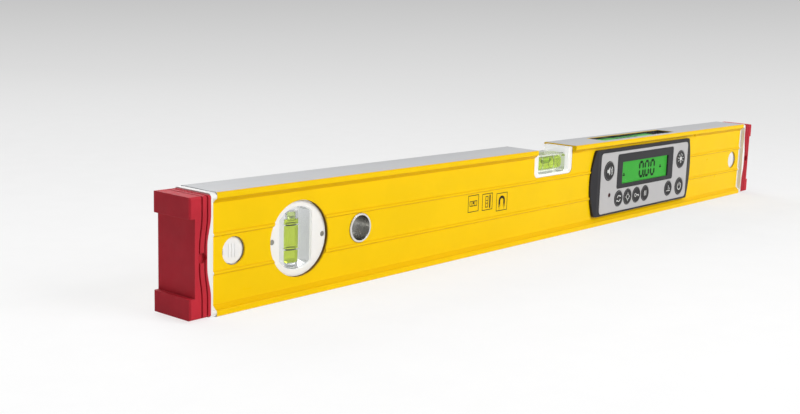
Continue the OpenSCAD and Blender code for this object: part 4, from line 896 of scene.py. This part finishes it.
def add_cement(name, outline):
    """A thin clear layer between a vial block and its holder, all round the block."""
    surface = bmesh.new()
    count = len(outline)

    def grown(step):
        points = []
        for i in range(count):
            before, here, after = (Vector(outline[(i + k) % count]) for k in (-1, 0, 1))
            first = (here - before).normalized()
            second = (after - here).normalized()
            bend = Vector((first.y + second.y, -first.x - second.x)).normalized()
            reach = step / max(0.5, bend.dot(Vector((first.y, -first.x))))
            points.append(here + bend * reach)
        return points

    loops = []
    for step in CEMENT_STEPS:
        for y in (-CEMENT_HALF_DEPTH, CEMENT_HALF_DEPTH):
            loops.append([surface.verts.new((p.x * MM, y * MM, p.y * MM)) for p in grown(step)])
    inner_front, inner_back, outer_front, outer_back = loops
    for i in range(count):
        j = (i + 1) % count
        surface.faces.new((inner_front[i], inner_front[j], inner_back[j], inner_back[i]))
        surface.faces.new((outer_front[i], outer_back[i], outer_back[j], outer_front[j]))
        surface.faces.new((inner_front[i], outer_front[i], outer_front[j], inner_front[j]))
        surface.faces.new((inner_back[i], inner_back[j], outer_back[j], outer_back[i]))
    return finish_piece(name, surface, "level_body", "cement")


def add_seal(name, start, end):
    """A bead of sealant that closes the joint round the insert in the profile's hole."""
    surface = bmesh.new()
    around = 96
    inner, outer = SEAL_RADII
    turns = [2 * math.pi * i / around for i in range(around)]
    rows = []
    for radius, depth in ((inner, start), (outer, start), (outer, end), (inner, end)):
        rows.append([surface.verts.new(((INSERT_X + radius * math.cos(a)) * MM, depth * MM,
                                        (MID_Z + radius * math.sin(a)) * MM)) for a in turns])
    for here, there in zip(rows, rows[1:] + rows[:1]):
        for i in range(around):
            j = (i + 1) % around
            surface.faces.new((here[i], here[j], there[j], there[i]))
    return finish_piece(name, surface, "level_body", "sealant")


def seal_insert():
    inner, outer = SEAL_DEPTHS
    add_seal("front_insert_seal", -outer, -inner)
    add_seal("rear_insert_seal", inner, outer)


def plumb_outline():
    """Outline of the plumb vial's block: a disc whose sides are cut straight."""
    left = PLUMB_BLOCK_X - PLUMB_BLOCK_HALF - INSERT_X
    right = PLUMB_BLOCK_X + PLUMB_BLOCK_HALF - INSERT_X
    steps = 16
    points = []
    for low, high, sign in ((left, right, 1), (right, left, -1)):
        for i in range(steps + 1):
            u = low + (high - low) * i / steps
            points.append((INSERT_X + u, MID_Z - sign * math.sqrt(PLUMB_BLOCK_R ** 2 - u * u)))
    return points


def level_outline():
    """Outline of the level vial's block: a rectangle with round corners."""
    (wide, high), corner = LEVEL_BLOCK_SIZE, LEVEL_BLOCK_CORNER
    steps = 6
    points = []
    for index, (su, sv) in enumerate(((1, -1), (1, 1), (-1, 1), (-1, -1))):
        for i in range(steps + 1):
            a = math.radians(-90 + 90 * index + 90 / steps * i)
            points.append((LEVEL_X + su * (wide / 2 - corner) + corner * math.cos(a),
                           LEVEL_Z + sv * (high / 2 - corner) + corner * math.sin(a)))
    return points


def fill_vials():
    add_liquid("plumb_liquid_fill", "plumb_vial_liquid", (PLUMB_X, 0, MID_Z), "z",
               PLUMB_VIAL_LEN, PLUMB_VIAL_LEN / 2 - PLUMB_AIR)
    add_liquid("level_liquid_fill", "level_vial_liquid", (LEVEL_X, 0, LEVEL_Z), "x",
               LEVEL_VIAL_LEN, LEVEL_VIAL_LEN / 2)
    add_cement("plumb_block_cement", plumb_outline())
    add_cement("level_block_cement", level_outline())


# Floor, backdrop and lamps

def see_only(tree):
    """1 for what the camera, a mirror or clear glass sees, 0 for light on the object."""
    path = add_node(tree, "ShaderNodeLightPath").outputs
    seen = math_node(tree, "MAXIMUM", path["Is Camera Ray"], path["Is Glossy Ray"])
    return math_node(tree, "MAXIMUM", seen, path["Is Transmission Ray"])


def clear_from_below(tree):
    """Lets a view from below, and the light on the object's base, pass through the floor."""
    length = add_node(tree, "ShaderNodeLightPath").outputs["Ray Length"]
    below = add_node(tree, "ShaderNodeNewGeometry").outputs["Backfacing"]
    close = math_node(tree, "LESS_THAN", length, CLEAR_NEARER_THAN)
    through = math_node(tree, "MAXIMUM", below, close)
    mix = add_node(tree, "ShaderNodeMixShader")
    plug(tree, through, mix.inputs[0])
    plug(tree, tree.nodes["Principled BSDF"].outputs[0], mix.inputs[1])
    plug(tree, add_node(tree, "ShaderNodeBsdfTransparent").outputs[0], mix.inputs[2])
    plug(tree, mix.outputs[0], tree.nodes["Material Output"].inputs["Surface"])


def add_floor():
    mesh = bpy.data.meshes.new("floor")
    corners = ((-1, -1), (1, -1), (1, 1), (-1, 1))
    mesh.from_pydata([(x * FLOOR_REACH, y * FLOOR_REACH, FLOOR_Z) for x, y in corners], [],
                     [(0, 1, 2, 3)])
    floor = bpy.data.objects.new("floor", mesh)
    bpy.context.scene.collection.objects.link(floor)
    finish, tree, shader = start_finish("backdrop_paper", (0.5, 0.5, 0.5), 0.9,
                                        Specular_IOR_Level=0.0)
    place = object_place(tree)
    sight = vector_math(tree, "SUBTRACT", place, tuple(Vector(CAMERA_PLACE) * MM))
    level = place_group(tree, PAPER, Sight=sight)["Level"]
    far = add_node(tree, "ShaderNodeVectorMath", operation="LENGTH")
    plug(tree, place, far.inputs[0])
    near = fade(tree, far.outputs["Value"], *FLOOR_FADE, FLOOR_SHARE, 0.0)
    fibre = place_group(tree, GRAIN, Size=0.004)["Mottle"]
    paper = math_node(tree, "MULTIPLY", near, blend_value(tree, fibre, 0.98, 1.02))
    bounce = blend_value(tree, see_only(tree), PAPER_BOUNCE, paper)
    plug(tree, bounce, shader["Base Color"])
    glow = math_node(tree, "SUBTRACT", level, math_node(tree, "MULTIPLY", near, FLOOR_LIT))
    plug(tree, math_node(tree, "MULTIPLY", glow, see_only(tree)), shader["Emission Color"])
    shader["Emission Strength"].default_value = 1.0
    clear_from_below(tree)
    mesh.materials.append(finish)


def add_lamp(name, place, size, watts):
    light = bpy.data.lights.new(name, "AREA")
    light.shape = "RECTANGLE"
    light.size, light.size_y = size
    light.energy = watts
    lamp = bpy.data.objects.new(name, light)
    lamp.location = place
    aim = Vector(LAMP_TARGET) - Vector(place)
    lamp.rotation_euler = aim.to_track_quat("-Z", "Y").to_euler()
    bpy.context.scene.collection.objects.link(lamp)


def add_light():
    world = bpy.data.worlds.new("studio")
    bpy.context.scene.world = world
    world.use_nodes = True
    tree = world.node_tree
    background = tree.nodes["Background"]
    sight = add_node(tree, "ShaderNodeTexCoord").outputs["Generated"]
    level = place_group(tree, PAPER, Sight=sight)["Level"]
    plug(tree, blend_colour(tree, see_only(tree), (0.97, 0.985, 1.0, 1), level),
         background.inputs[0])
    plug(tree, blend_value(tree, see_only(tree), WORLD_LIGHT, 1.0), background.inputs[1])
    for name, (place, size, watts) in LAMPS.items():
        add_lamp(name, place, size, watts)


add_camera()
dress_nodes()
fill_vials()
seal_insert()
mark_keys()
mark_displays()
mark_web()
add_floor()
add_light()
bpy.context.scene.view_settings.view_transform = "Standard"
